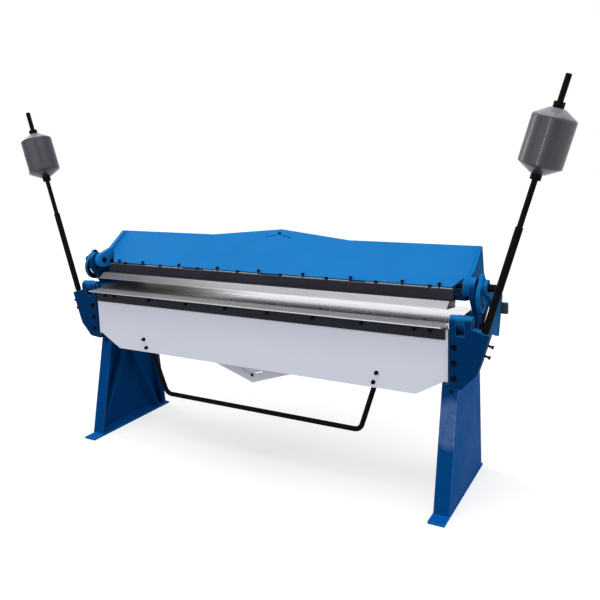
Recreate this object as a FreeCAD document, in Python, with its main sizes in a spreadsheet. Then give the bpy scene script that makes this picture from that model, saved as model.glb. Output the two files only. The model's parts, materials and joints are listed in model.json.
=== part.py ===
import FreeCAD, Part
import math
import os
import re

import Sketcher

# A hand-operated sheet metal folder. X runs along the bed, Y from the operator to the back and
# Z up. The origin is on the floor, under the middle of the two feet. Every outline is drawn from
# the bend line, so y = 0 in a sketch is the bend line, and fold_y carries it to its place.

V = FreeCAD.Vector
doc = FreeCAD.newDocument("SheetFolder")
sheet = doc.addObject("Spreadsheet::Sheet", "Sizes")

SIZES = {
    # Feet and stands
    "foot_front": 158,
    "foot_back": 482,
    "foot_width": 76,
    "foot_plate": 10,
    "anchor_inset": 37,
    "anchor_front_inset": 22,
    "anchor_back_inset": 62,
    "anchor_radius": 7,
    "stand_half_span": 1067,
    "stand_plate": 10,
    "stand_flange": 72,
    "stand_toe": 94,
    "stand_knee_height": 620,
    "stand_heel": 455,
    "stand_back": 388,
    "rib_width": 57,
    "rib_apex_back": 178,
    "rib_apex_high": 525,
    "rib_apex_low": 498,
    "rib_toe_high": 84,
    "rib_toe_low": 42,
    "rib_heel_back": 404,
    "rib_heel_depth": 13,
    # Bed
    "bed_height": 856,
    "bed_plate": 25,
    "bed_half_length": 1056,
    "bed_depth": 330,
    "bed_notch_length": 16,
    "bed_notch_depth": 32,
    "girder_front": 45,
    "girder_back": 300,
    "girder_wall": 12,
    "girder_height": 123,
    # Hinge of the folding beam
    "hinge_rise": 13.5,
    "hinge_pin_radius": 12.5,
    "hinge_pin_proud": 3,
    "running_gap": 0.05,
    "knuckle_radius": 27,
    "knuckle_inset": 6.5,
    "knuckle_length": 35,
    "knuckle_side_gap": 1,
    "knuckle_root_depth": 20,
    "knuckle_heel_depth": 1,
    "block_width": 45,
    "block_front": 40,
    "block_bottom": 700,
    "block_heel_back": 176,
    "block_heel_rise": 116,
    # Cheeks beside the clamp
    "cheek_plate": 23,
    "cheek_head_back": 80,
    "cheek_head_height": 1000,
    "cheek_head_radius": 47,
    "cheek_brow_drop": 34,
    "cheek_waist_back": 98,
    "cheek_waist_height": 877,
    "cheek_foot_back": 140,
    "cheek_foot_height": 760,
    "cheek_throat_back": 298,
    "cheek_throat_height": 880,
    "cheek_eye_radius": 38,
    "cheek_bolt_front": 130,
    "cheek_bolt_back": 180,
    "cheek_bolt_low": 784,
    "cheek_bolt_high": 818,
    "cheek_bolt_radius": 6,
    "cheek_bolt_head_radius": 9.6,
    "cheek_bolt_head": 7,
    "cheek_bolt_short": 2,
    # Rear pivot of the clamping beam
    "pivot_back": 400,
    "pivot_rise": 30,
    "pivot_pin_radius": 15,
    "pivot_eye_radius": 32,
    "pivot_side_gap": 1,
    "web_ear_radius": 36,
    "pivot_head_radius": 21,
    "pivot_head": 8,
    "pivot_pin_proud": 8,
    # Folding beam
    "lip_depth": 85.6,
    "lip_gap": 0.5,
    "lip_thickness": 13,
    "lip_nose": 4,
    "lip_bevel": 26,
    "lip_half_length": 1026,
    "bar_half_length": 1024.5,
    "bar_thickness": 13.7,
    "bar_height": 56.3,
    "apron_half_length": 1035.8,
    "apron_thickness": 20,
    "apron_back": 6.3,
    "apron_top_drop": 30,
    "apron_tongue_back": 2,
    "apron_step_height": 595.6,
    "apron_step": 17,
    "apron_foot_half_length": 889.4,
    "apron_bottom": 519.8,
    "bar_bolt_drop": 33,
    "bar_bolt_pitch": 254,
    "bar_bolt_end": 960,
    "bar_bolt_radius": 5,
    "bar_bolt_head_radius": 8,
    "bar_bolt_head": 8,
    "camber_half_width": 250,
    "camber_tip_drop": 82.8,
    "camber_rise": 90,
    "camber_plate": 10,
    "camber_slot_in": 10,
    "camber_slot_out": 65,
    "camber_slot_in_drop": 33.8,
    "camber_slot_out_drop": 16.8,
    "camber_slot_width": 6,
    "camber_screw_radius": 5,
    "camber_screw_head_radius": 8,
    "camber_screw_head": 5,
    "camber_screw_drop": 41.3,
    "end_block_inner": 975,
    "end_block_outer": 1100,
    "end_block_low": 600,
    "end_block_high": 800,
    "end_block_back": 30,
    # End brackets of the folding beam
    "bracket_front": 25,
    "bracket_back": 15,
    "bracket_inner": 1043,
    "bracket_arm_outer": 1142,
    "bracket_slot_bottom": 808,
    "bracket_eye_radius": 25,
    "bracket_toe_inner": 1024,
    "bracket_toe_top": 590,
    "bracket_toe_bottom": 567,
    "bracket_heel_outer": 1099,
    "bracket_heel_height": 574,
    "bracket_knee_outer": 1164,
    "bracket_knee_height": 645,
    "bracket_flank_outer": 1181,
    "bracket_flank_height": 695,
    "bracket_ledge_outer": 1219,
    "bracket_ledge_low": 822.5,
    "bracket_ledge_high": 843.3,
    "bracket_bolt_x": 1064,
    "bracket_bolt_drop": 98.8,
    "bracket_bolt_pitch": 68.8,
    "bracket_bolt_radius": 6,
    "bracket_bolt_head_radius": 9.5,
    "bracket_bolt_head": 8.5,
    "bracket_bolt_reach": 52,
    "bolt_gap": 0.2,
    # Counterweight rods
    "rod_x": 1192,
    "rod_front": 5,
    "rod_height": 824,
    "rod_lean": 16.3,
    "rod_length": 1086,
    "rod_tail": 110,
    "rod_radius": 12,
    "rod_chamfer": 3,
    "rod_bore_reach": 68,
    "sleeve_radius": 16,
    "sleeve_length": 475,
    "sleeve_start": 8,
    "clamp_screw_first": 41,
    "clamp_screw_second": 89,
    "clamp_screw_reach": 43,
    "clamp_tapping": 32,
    "clamp_screw_radius": 5,
    "clamp_screw_head_radius": 8,
    "clamp_screw_head": 8,
    "weight_centre": 826,
    "weight_radius": 87,
    "weight_length": 187,
    "weight_cone": 35,
    "weight_cone_radius": 52,
    "collar_radius": 22,
    "collar_length": 25,
    # Pull handle
    "handle_radius": 12.5,
    "handle_top_x": 708,
    "handle_top_height": 615,
    "handle_top_back": 19,
    "handle_foot_x": 594,
    "handle_foot_height": 281,
    "handle_foot_back": 28,
    "handle_bend": 45,
    "handle_bolt_high": 593,
    "handle_bolt_low": 547,
    "handle_bolt_radius": 4,
    "handle_bolt_head_radius": 8,
    "handle_bolt_head": 15,
    # Clamping beam, drawn in its closed position
    "clamp_open": 8.31,
    "clamp_seat_gap": 0.5,
    "blade_tip_back": 0.3,
    "blade_land": 1,
    "blade_height": 34,
    "blade_depth": 130,
    "blade_half_length": 1025,
    "holder_half_length": 1027,
    "holder_front": 82,
    "holder_depth": 28,
    "holder_height": 50.5,
    "base_back": 290,
    "base_plate": 22,
    "slope_angle": 48.3,
    "slope_front": 98.5,
    "slope_seat": 0.3,
    "slope_plate": 12,
    "slope_length": 250.3,
    "slope_half_length": 1077,
    "slope_foot_half_length": 1015,
    "slope_corner_cut": 85,
    "gable_half_length": 425,
    "gable_rise": 58,
    "wing_slot_in": 12,
    "wing_slot_out": 79,
    "wing_slot_in_up": 263,
    "wing_slot_out_up": 249,
    "wing_slot_width": 6,
    "wing_screw_up": 275,
    "gusset_pitch": 508,
    "gusset_plate": 12,
    "gusset_back": 288,
    "gusset_heel": 28,
    "gusset_top_back": 258,
    "gusset_gap": 0.3,
    "end_plate": 25,
    "end_plate_peak_back": 253.5,
    "end_plate_peak_height": 1141.5,
    "end_plate_rear_back": 310,
    "end_plate_rear_height": 1010.3,
    "end_plate_shoulder_back": 141.5,
    "end_plate_shoulder_height": 1030,
    "end_plate_throat_back": 290,
    "end_plate_throat_rise": 64,
    "boss_radius": 42,
    "boss_proud": 8,
    "bar_screw_back": 88,
    "tall_screw_pitch": 261,
    "tall_screw_end": 960,
    "tall_screw_neck_radius": 4.5,
    "tall_screw_neck": 13,
    "tall_screw_head": 11,
    "bar_screw_head_radius": 8.5,
    "low_screw_pitch": 261.5,
    "low_screw_head": 12,
    "end_stud_radius": 10,
    "end_stud_back": 137.6,
    "end_stud_height": 952.8,
    # Clamp shafts, cams and levers
    "shaft_back": 84.4,
    "shaft_height": 957.1,
    "shaft_radius": 17,
    "shaft_proud": 34,
    "shaft_end_radius": 11,
    "shaft_end_length": 9,
    "shaft_slot_gap": 0.6,
    "spacer_radius": 24,
    "spacer_gap": 0.5,
    "cam_gap": 8,
    "cam_plate": 18,
    "cam_drop": 40,
    "cam_radius": 74,
    "cam_fin_height": 58,
    "cam_fin_half_width": 58,
    "cam_ratio": 11,
    "follower_back": 98,
    "follower_drop": 40.1,
    "follower_short": 1,
    "follower_radius": 7,
    "follower_gap": 0.3,
    "follower_collar_radius": 12,
    "lever_plate": 18,
    "lever_hub_radius": 36,
    "lever_arm_width": 42,
    "lever_arm_back": 272,
    "lever_arm_drop": 112,
    "lever_shoulder_back": 95,
    "lever_shoulder_drop": 95,
    "lever_toe_back": 40,
    "lever_toe_drop": 207,
    "lever_heel_back": 211,
    "lever_heel_drop": 269,
    "lever_corner_radius": 22,
    "lever_foot_radius": 6,
    "lever_notch_back": 192,
    "lever_notch_drop": 142,
    "lever_notch_length": 40,
    "lever_notch_width": 10,
    "grip_drop": 28,
    "grip_length": 53,
    "grip_width": 30,
    "grip_thickness": 28,
    "grip_round": 9,
}

FORMULAS = {
    "fold_y": "(foot_front - foot_back) / 2",
    "stand_inner": "stand_half_span - stand_plate",
    "stand_slope": "(stand_toe + girder_front) / stand_knee_height",
    "stand_front_low": "foot_plate * stand_slope - stand_toe",
    "flange_depth": "stand_plate * sqrt(1 + stand_slope ^ 2)",
    "bed_bottom": "bed_height - bed_plate",
    "girder_bottom": "bed_bottom - girder_height",
    "hinge_height": "bed_height + hinge_rise",
    "hinge_bore": "hinge_pin_radius + running_gap",
    "block_outer": "stand_half_span + block_width",
    "knuckle_inner": "stand_half_span + knuckle_inset",
    "knuckle_outer": "knuckle_inner + knuckle_length",
    "arm_inner": "knuckle_inner - knuckle_side_gap",
    "arm_outer": "knuckle_outer + knuckle_side_gap",
    "cheek_outer": "block_outer + cheek_plate",
    "pivot_height": "bed_height + pivot_rise",
    "pivot_bore": "pivot_pin_radius + running_gap",
    "lip_underside": "bed_height - lip_thickness",
    "apron_front": "apron_back - apron_thickness",
    "apron_top": "bed_height - apron_top_drop",
    "bar_front": "apron_front - bar_thickness",
    "bar_bolt_height": "bed_height - bar_bolt_drop",
    "rod_bore": "rod_radius + bolt_gap",
    "blade_bottom": "bed_height + clamp_seat_gap",
    "blade_top": "blade_bottom + blade_height",
    "holder_back": "holder_front + holder_depth",
    "holder_top": "blade_top + holder_height",
    "base_top": "blade_top + base_plate",
    "slope_low": "holder_top + slope_seat + slope_plate * cos(slope_angle)",
    "end_outer": "slope_half_length + end_plate",
    "end_plate_throat_height": "pivot_height + end_plate_throat_rise",
    "boss_outer": "end_outer + boss_proud",
    "cam_inner": "cheek_outer + cam_gap",
    "cam_outer": "cam_inner + cam_plate",
    "lever_outer": "cam_outer + lever_plate",
    "shaft_bore": "shaft_radius + running_gap",
    "follower_height": "shaft_height - follower_drop",
    "shaft_open_back": "pivot_back + (shaft_back - pivot_back) * cos(clamp_open)"
                       " + (shaft_height - pivot_height) * sin(clamp_open)",
    "shaft_open_height": "pivot_height - (shaft_back - pivot_back) * sin(clamp_open)"
                         " + (shaft_height - pivot_height) * cos(clamp_open)",
}

NAME = re.compile(r"[a-z]+(?:_[a-z]+)+")
KEY_SHARE = 0.5
KEY_FLOOR = 0.4
CUT_OVERRUN = 1
BAR_BOLTS = 8
LOW_SCREWS = 8
nodes = {}


def full(text):
    """A formula with each name written out as cells of the sheet."""
    def written_out(found):
        name = found.group(0)
        if name in FORMULAS:
            return "(" + full(FORMULAS[name]) + ")"
        return "Sizes." + name
    return NAME.sub(written_out, str(text))


def number(text):
    """The value of a formula, as the sheet works it out."""
    value = sheet.evalExpression(full(text))
    return float(getattr(value, "Value", value))


def bind(thing, prop, text):
    thing.setExpression(prop, full(text))


def fill_sheet():
    for row, (alias, value) in enumerate(SIZES.items(), 1):
        sheet.set("A%d" % row, alias.replace("_", " "))
        sheet.set("B%d" % row, str(value))
        sheet.setAlias("B%d" % row, alias)
    doc.recompute()


# Placing: each finished piece is moved by one of these


def set_place(thing, x, y, z, axis, angle):
    thing.Placement = FreeCAD.Placement(V(0, 0, 0), FreeCAD.Rotation(axis, 10))
    bind(thing, "Placement.Base.x", x)
    bind(thing, "Placement.Base.y", y)
    bind(thing, "Placement.Base.z", z)
    bind(thing, "Placement.Rotation.Angle", angle)


def place_still(thing):
    bind(thing, "Placement.Base.y", "fold_y")


def opened(y, z):
    """Where a point of the closed clamping beam is when the beam stands open."""
    across = "((%s) - pivot_back)" % y
    up = "((%s) - pivot_height)" % z
    return ("pivot_back + %s * cos(clamp_open) + %s * sin(clamp_open)" % (across, up),
            "pivot_height - %s * sin(clamp_open) + %s * cos(clamp_open)" % (across, up))


def place_clamp(thing):
    y, z = opened("0", "0")
    set_place(thing, "0", "fold_y + " + y, z, V(1, 0, 0), "0 - clamp_open")


def place_slope(thing):
    y, z = opened("slope_front", "slope_low")
    set_place(thing, "0", "fold_y + " + y, z, V(1, 0, 0), "slope_angle - clamp_open")


def place_rod(side):
    def place(thing):
        set_place(thing, "%d * rod_x" % side, "fold_y - rod_front", "rod_height",
                  V(0, 1, 0), "%d * rod_lean" % side)
    return place


def place_shaft(thing):
    bind(thing, "Placement.Base.y", "fold_y + shaft_open_back")
    bind(thing, "Placement.Base.z", "shaft_open_height")


# Sketches and features


def sketch_on(body, role, offset):
    drawing = body.newObject("Sketcher::SketchObject", body.Name + "_sketch")
    plane = [item for item in body.Origin.OriginFeatures if item.Role == role][0]
    drawing.AttachmentSupport = [(plane, "")]
    drawing.MapMode = "FlatFace"
    bind(drawing, "AttachmentOffset.Base.z", offset)
    return drawing


def fix_point(drawing, edge, end, point):
    for kind, text in zip(("DistanceX", "DistanceY"), point):
        rule = Sketcher.Constraint(kind, -1, 1, edge, end, number(text))
        index = drawing.addConstraint(rule)
        bind(drawing, "Constraints[%d]" % index, text)


def draw_polygon(drawing, points):
    """A closed outline, its corners fixed from the sketch's origin."""
    spots = [V(number(a), number(b), 0) for a, b in points]
    first = drawing.GeometryCount
    count = len(points)
    for index in range(count):
        line = Part.LineSegment(spots[index], spots[(index + 1) % count])
        drawing.addGeometry(line, False)
    for index in range(count):
        following = first + (index + 1) % count
        drawing.addConstraint(Sketcher.Constraint("Coincident", first + index, 2, following, 1))
    for index, point in enumerate(points):
        fix_point(drawing, first + index, 1, point)


def draw_circle(drawing, centre, radius):
    spot = V(number(centre[0]), number(centre[1]), 0)
    index = drawing.addGeometry(Part.Circle(spot, V(0, 0, 1), number(radius)), False)
    fix_point(drawing, index, 3, centre)
    rule = drawing.addConstraint(Sketcher.Constraint("Radius", index, number(radius)))
    bind(drawing, "Constraints[%d]" % rule, radius)


def draw(drawing, outline):
    """An outline is a list of corners, or a tuple of a centre and a radius for a round."""
    if isinstance(outline, tuple):
        draw_circle(drawing, outline[0], outline[1])
    else:
        draw_polygon(drawing, outline)


def add_feature(body, kind, role, outlines, start, length):
    drawing = sketch_on(body, role, start)
    for outline in outlines:
        draw(drawing, outline)
    feature = body.newObject("PartDesign::" + kind, body.Name + "_" + kind.lower())
    feature.Profile = drawing
    if kind == "Pocket":
        feature.Reversed = True
    bind(feature, "Length", length)
    drawing.Visibility = False
    return feature


def side_start(side, inner, outer):
    return inner if side > 0 else "0 - (%s)" % outer


def pad_side(body, side, outlines, inner, outer):
    """Plate standing in the YZ plane between two distances from the middle."""
    length = "(%s) - (%s)" % (outer, inner)
    return add_feature(body, "Pad", "YZ_Plane", outlines, side_start(side, inner, outer), length)


def cut_side(body, side, outlines, inner, outer):
    before = body.Shape.Volume
    length = "(%s) - (%s)" % (outer, inner)
    add_feature(body, "Pocket", "YZ_Plane", outlines, side_start(side, inner, outer), length)
    check_cut(body, before)


def pad_front(body, outlines, front, back):
    """Plate standing in the XZ plane, from its front face to its back face."""
    length = "(%s) - (%s)" % (back, front)
    return add_feature(body, "Pad", "XZ_Plane", outlines, "0 - (%s)" % back, length)


def cut_front(body, outlines, front, back):
    before = body.Shape.Volume
    length = "(%s) - (%s)" % (back, front)
    add_feature(body, "Pocket", "XZ_Plane", outlines, "0 - (%s)" % back, length)
    check_cut(body, before)


def pad_up(body, outlines, bottom, top):
    return add_feature(body, "Pad", "XY_Plane", outlines, bottom, "(%s) - (%s)" % (top, bottom))


def cut_up(body, outlines, bottom, top):
    before = body.Shape.Volume
    add_feature(body, "Pocket", "XY_Plane", outlines, bottom, "(%s) - (%s)" % (top, bottom))
    check_cut(body, before)


def check_cut(body, before):
    doc.recompute()
    if body.Shape.Volume > before - 1:
        raise RuntimeError(body.Label + ": a cut removed nothing")


def rounded(body, role, corners, radius):
    """Round the straight edges that pass through the given corners of a plate."""
    doc.recompute()
    keep = {"YZ_Plane": (1, 2), "XZ_Plane": (0, 2), "XY_Plane": (0, 1)}[role]
    spots = [(number(a), number(b)) for a, b in corners]
    base = body.Tip
    found = []
    for index, edge in enumerate(base.Shape.Edges, 1):
        ends = [(v.Point[keep[0]], v.Point[keep[1]]) for v in edge.Vertexes]
        if len(ends) != 2:
            continue
        if any(math.dist(ends[0], s) < 0.01 and math.dist(ends[1], s) < 0.01 for s in spots):
            found.append("Edge%d" % index)
    if len(found) < len(spots):
        raise RuntimeError(body.Label + ": a corner to round wasn't found")
    fillet = body.newObject("PartDesign::Fillet", body.Name + "_fillet")
    fillet.Base = (base, found)
    bind(fillet, "Radius", radius)
    doc.recompute()


def new_body(label):
    body = doc.addObject("PartDesign::Body", label)
    body.Label = label
    return body


def finish(thing, label, place=place_still):
    thing.Label = label
    if place:
        place(thing)
    nodes[label] = thing


def tangent(one, radius_one, two, radius_two, hand):
    """Ends of the straight edge that touches two rounds, on their left or right."""
    dy = "((%s) - (%s))" % (two[0], one[0])
    dz = "((%s) - (%s))" % (two[1], one[1])
    share = "acos(((%s) - (%s)) / hypot(%s; %s))" % (radius_one, radius_two, dy, dz)
    turn = "(atan2(%s; %s) %s %s)" % (dz, dy, "+" if hand > 0 else "-", share)
    return [("(%s) + (%s) * cos(%s)" % (spot[0], radius, turn),
             "(%s) + (%s) * sin(%s)" % (spot[1], radius, turn))
            for spot, radius in ((one, radius_one), (two, radius_two))]


def name_of(side):
    return "right" if side > 0 else "left"


def spaced(count, pitch):
    """Places at an even pitch on both sides of the middle."""
    return ["(%s) * %s" % (step - (count - 1) / 2, pitch) for step in range(count)]


def mirrored(side, points):
    return [("%d * (%s)" % (side, x), z) for x, z in points]


def both_ways(points):
    """An outline given for x > 0, from its first corner to its last, closed by its mirror."""
    return points + [("0 - (%s)" % x, z) for x, z in reversed(points)]


def strip(start, end, width):
    """Corners of a straight slot between two points."""
    dx = "((%s) - (%s))" % (end[0], start[0])
    dz = "((%s) - (%s))" % (end[1], start[1])
    long = "hypot(%s; %s)" % (dx, dz)
    across = "((%s) / 2 * %s / %s)" % (width, dz, long)
    up = "((%s) / 2 * %s / %s)" % (width, dx, long)
    return [("(%s) + %s" % (start[0], across), "(%s) - %s" % (start[1], up)),
            ("(%s) + %s" % (end[0], across), "(%s) - %s" % (end[1], up)),
            ("(%s) - %s" % (end[0], across), "(%s) + %s" % (end[1], up)),
            ("(%s) - %s" % (start[0], across), "(%s) + %s" % (start[1], up))]


# Round stock and screws from Part solids


OUT = {
    "front": FreeCAD.Rotation(V(1, 0, 0), 90),
    "up": FreeCAD.Rotation(),
    "right": FreeCAD.Rotation(V(0, 1, 0), 90),
    "left": FreeCAD.Rotation(V(0, 1, 0), -90),
}


def cylinder(name, radius, height, at, out, start="0"):
    """A round bar along the outward direction, from its start to start + height."""
    solid = doc.addObject("Part::Cylinder", name)
    bind(solid, "Radius", radius)
    bind(solid, "Height", height)
    solid.Placement = FreeCAD.Placement(V(0, 0, 0), OUT[out])
    step = OUT[out].multVec(V(0, 0, 1))
    for letter, base, share in zip("xyz", at, step):
        bind(solid, "Placement.Base." + letter, "(%s) + %d * (%s)" % (base, round(share), start))
    return solid


def fused(name, parts):
    joined = doc.addObject("Part::MultiFuse", name)
    joined.Shapes = parts
    joined.Refine = True
    return joined


def bolt(name, out, at, head_radius, head, shank_radius, shank):
    """A socket-head bolt, its head seated on the face at the given point."""
    body = fused(name + "_solid", [
        cylinder(name + "_head", head_radius, head, at, out),
        cylinder(name + "_shank", shank_radius, "(%s) + (%s) / 2" % (shank, head), at, out,
                 "0 - (%s)" % shank)])
    key = doc.addObject("Part::Prism", name + "_key")
    key.Polygon = 6
    bind(key, "Circumradius", "(%s) * %s" % (head_radius, KEY_SHARE))
    bind(key, "Height", head)
    key.Placement = FreeCAD.Placement(V(0, 0, 0), OUT[out])
    step = OUT[out].multVec(V(0, 0, 1))
    for letter, base, share in zip("xyz", at, step):
        bind(key, "Placement.Base." + letter,
             "(%s) + %d * (%s) * %s" % (base, round(share), head, KEY_FLOOR))
    screw = doc.addObject("Part::Cut", name)
    screw.Base = body
    screw.Tool = key
    return screw


def group(label, parts, place=place_still):
    together = doc.addObject("Part::Compound", label)
    together.Links = parts
    finish(together, label, place)


def cut_from(body, tools, label, place=place_still):
    tool = tools[0] if len(tools) == 1 else fused(label + "_tools", tools)
    result = doc.addObject("Part::Cut", label)
    result.Base = body
    result.Tool = tool
    finish(result, label, place)


def slot_solid(name, centre_line, half_width, x_start, length):
    """A curved slot in the YZ plane: two offset curves and a round at each end."""
    steps = 12
    tiny = 1e-4
    left, right, ends = [], [], []
    for index in range(steps + 1):
        share = index / steps
        here = centre_line(share)
        along = centre_line(share + tiny) - centre_line(share - tiny)
        along.normalize()
        across = V(0, -along.z, along.y) * half_width
        left.append(here + across)
        right.append(here - across)
        if index in (0, steps):
            ends.append(here + along * (half_width if index else -half_width))
    sides = []
    for points in (left, right):
        curve = Part.BSplineCurve()
        curve.interpolate(points)
        sides.append(curve.toShape())
    start = Part.Arc(right[0], ends[0], left[0]).toShape()
    end = Part.Arc(left[-1], ends[1], right[-1]).toShape()
    face = Part.Face(Part.Wire([sides[0], end, sides[1], start]))
    solid = face.extrude(V(length, 0, 0))
    solid.translate(V(x_start, 0, 0))
    slot = doc.addObject("Part::Feature", name)
    slot.Shape = solid
    return slot


# Feet and stands


PIVOT = ("pivot_back", "pivot_height")
HINGE = ("0", "hinge_height")
SHAFT = ("shaft_back", "shaft_height")
CHEEK_BOLTS = [("cheek_bolt_front", "cheek_bolt_low"),
               ("cheek_bolt_front", "cheek_bolt_high"),
               ("cheek_bolt_back", "cheek_bolt_high")]
BOLT_HOLE = "cheek_bolt_radius + bolt_gap"


def make_foot(side):
    label = name_of(side) + "_foot"
    body = new_body(label)
    inner = "stand_half_span - foot_width"
    outline = mirrored(side, [(inner, "0 - foot_front"), ("stand_half_span", "0 - foot_front"),
                              ("stand_half_span", "foot_back"), (inner, "foot_back")])
    pad_up(body, [outline], "0", "foot_plate")
    hole_x = "%d * (stand_half_span - anchor_inset)" % side
    holes = [((hole_x, "anchor_front_inset - foot_front"), "anchor_radius"),
             ((hole_x, "foot_back - anchor_back_inset"), "anchor_radius")]
    doc.recompute()
    cut_up(body, holes, "0", "foot_plate")
    finish(body, label)


def make_stand_panel(side):
    """Side plate with its front and rear flanges turned inwards and an ear for the rear pivot."""
    label = name_of(side) + "_stand_panel"
    body = new_body(label)
    low = ("stand_front_low", "foot_plate")
    knee = ("girder_front", "stand_knee_height")
    web = [low, knee, ("girder_front", "bed_bottom"),
           ("bed_depth + stand_plate", "bed_bottom"),
           ("pivot_back - web_ear_radius", "pivot_height"),
           ("pivot_back + web_ear_radius", "pivot_height"),
           ("stand_back", "girder_bottom"), ("stand_heel", "foot_plate")]
    pad_side(body, side, [web], "stand_inner", "stand_half_span")
    pad_side(body, side, [(PIVOT, "web_ear_radius")], "stand_inner", "stand_half_span")
    front = [low, knee, ("girder_front", "girder_bottom"),
             ("girder_front + flange_depth", "girder_bottom"),
             ("girder_front + flange_depth", "stand_knee_height"),
             ("stand_front_low + flange_depth", "foot_plate")]
    rear = [("stand_heel - stand_plate", "foot_plate"), ("stand_heel", "foot_plate"),
            ("stand_back", "girder_bottom"), ("stand_back - stand_plate", "girder_bottom")]
    pad_side(body, side, [front], "stand_half_span - stand_flange", "stand_half_span")
    pad_side(body, side, [rear], "stand_half_span - stand_flange", "stand_half_span")
    doc.recompute()
    holes = [(PIVOT, "pivot_bore")] + [(spot, BOLT_HOLE) for spot in CHEEK_BOLTS]
    cut_side(body, side, holes, "stand_inner", "stand_half_span")
    finish(body, label)


def make_stand_ribs():
    """Two flat bars on edge inside each stand, as an upside-down V from the flange to the foot."""
    apex = [("rib_apex_back", "rib_apex_high"), ("rib_apex_back", "rib_apex_low")]
    flange_back = "flange_depth - stand_toe"
    toe = [(flange_back + " + %s * stand_slope" % height, height)
           for height in ("rib_toe_low", "rib_toe_high")]
    heel = [("rib_heel_back - rib_heel_depth", "foot_plate"), ("rib_heel_back", "foot_plate")]
    bars = []
    for side in (1, -1):
        for end in (toe, heel):
            body = new_body("stand_rib")
            pad_side(body, side, [apex + end], "stand_inner - rib_width", "stand_inner")
            bars.append(body)
    group("stand_ribs", bars)


# Bed


def make_bed_table():
    body = new_body("bed_table")
    outline = both_ways([
        ("bed_half_length - bed_notch_length", "0"),
        ("bed_half_length - bed_notch_length", "bed_notch_depth"),
        ("bed_half_length", "bed_notch_depth"), ("bed_half_length", "bed_depth")])
    pad_up(body, [outline], "bed_bottom", "bed_height")
    finish(body, "bed_table")


def make_bed_girder():
    """Trough under the bed, welded between the stands."""
    body = new_body("bed_girder")
    floor = "girder_bottom + girder_wall"
    outline = [("girder_front", "bed_bottom"), ("girder_front", "girder_bottom"),
               ("girder_back", "girder_bottom"), ("girder_back", "bed_bottom"),
               ("girder_back - girder_wall", "bed_bottom"), ("girder_back - girder_wall", floor),
               ("girder_front + girder_wall", floor), ("girder_front + girder_wall", "bed_bottom")]
    add_feature(body, "Pad", "YZ_Plane", [outline], "0 - stand_inner", "2 * stand_inner")
    finish(body, "bed_girder")


# Hinge blocks and cheeks


def make_hinge_block(side):
    """Block bolted to the stand, with the fixed knuckle of the folding beam's hinge."""
    label = name_of(side) + "_hinge_block"
    body = new_body(label)
    block = [("block_front", "block_bottom"), ("block_heel_back", "block_bottom"),
             ("bed_depth", "block_bottom + block_heel_rise"), ("bed_depth", "bed_height"),
             ("block_front", "bed_height")]
    pad_side(body, side, [block], "stand_half_span", "block_outer")
    root_back = "block_front + knuckle_root_depth"
    top_end = (root_back, "bed_height")
    low_end = ("block_front + knuckle_heel_depth", "end_block_high")
    upper = tangent(HINGE, "knuckle_radius", top_end, "0", 1)[0]
    lower = tangent(HINGE, "knuckle_radius", low_end, "0", -1)[0]
    arm = [upper, top_end, (root_back, "end_block_high"), low_end, lower, HINGE]
    pad_side(body, side, [arm], "knuckle_inner", "knuckle_outer")
    pad_side(body, side, [(HINGE, "knuckle_radius")], "knuckle_inner", "knuckle_outer")
    doc.recompute()
    cut_side(body, side, [(HINGE, "hinge_bore")], "knuckle_inner", "knuckle_outer")
    cut_side(body, side, [(spot, BOLT_HOLE) for spot in CHEEK_BOLTS],
             "stand_half_span", "block_outer")
    finish(body, label)


def beam_point(y, z, angle):
    """A point of the beam after it turned nose-down by an angle, in radians, from open."""
    pivot_y, pivot_z = number("pivot_back"), number("pivot_height")
    turn = angle - math.radians(number("clamp_open"))
    across, up = y - pivot_y, z - pivot_z
    return (pivot_y + across * math.cos(turn) - up * math.sin(turn),
            pivot_z + across * math.sin(turn) + up * math.cos(turn))


def shaft_path(share):
    angle = share * math.radians(number("clamp_open"))
    return V(0, *beam_point(number("shaft_back"), number("shaft_height"), angle))


def make_cheek(side):
    """Fixed side plate: the shaft rises and falls in its curved slot."""
    label = name_of(side) + "_cheek"
    body = new_body(label + "_plate")
    head = ("cheek_head_back", "cheek_head_height")
    waist = ("cheek_waist_back", "cheek_waist_height")
    throat = ("cheek_throat_back", "cheek_throat_height")
    head_back, eye_top = tangent(head, "cheek_head_radius", PIVOT, "cheek_eye_radius", 1)
    eye_low = tangent(throat, "0", PIVOT, "cheek_eye_radius", -1)[1]
    head_front = ("cheek_head_back - cheek_head_radius", "cheek_head_height")
    outline = [head_front, ("cheek_head_back - cheek_head_radius",
                            "cheek_head_height - cheek_brow_drop"),
               waist, ("cheek_waist_back", "cheek_foot_height"),
               ("cheek_foot_back", "cheek_foot_height"), throat, eye_low, PIVOT, eye_top,
               head_back, head]
    pad_side(body, side, [outline], "block_outer", "cheek_outer")
    pad_side(body, side, [(head, "cheek_head_radius")], "block_outer", "cheek_outer")
    pad_side(body, side, [(PIVOT, "cheek_eye_radius")], "block_outer", "cheek_outer")
    doc.recompute()
    holes = [(PIVOT, "pivot_bore"),
             (("follower_back", "follower_height"), "follower_radius + running_gap")]
    holes += [(spot, BOLT_HOLE) for spot in CHEEK_BOLTS]
    cut_side(body, side, holes, "block_outer", "cheek_outer")
    start = number(side_start(side, "block_outer", "cheek_outer"))
    slot = slot_solid(label + "_slot", shaft_path, number("shaft_radius + shaft_slot_gap"),
                      start - CUT_OVERRUN, number("cheek_plate") + 2 * CUT_OVERRUN)
    cut_from(body, [slot], label)


def make_cheek_bolts():
    screws = []
    for side in (1, -1):
        for back, height in CHEEK_BOLTS:
            at = ("%d * cheek_outer" % side, back, height)
            screws.append(bolt("cheek_bolt", name_of(side), at, "cheek_bolt_head_radius",
                               "cheek_bolt_head", "cheek_bolt_radius",
                               "cheek_outer - stand_inner - cheek_bolt_short"))
    group("cheek_bolts", screws)


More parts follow.
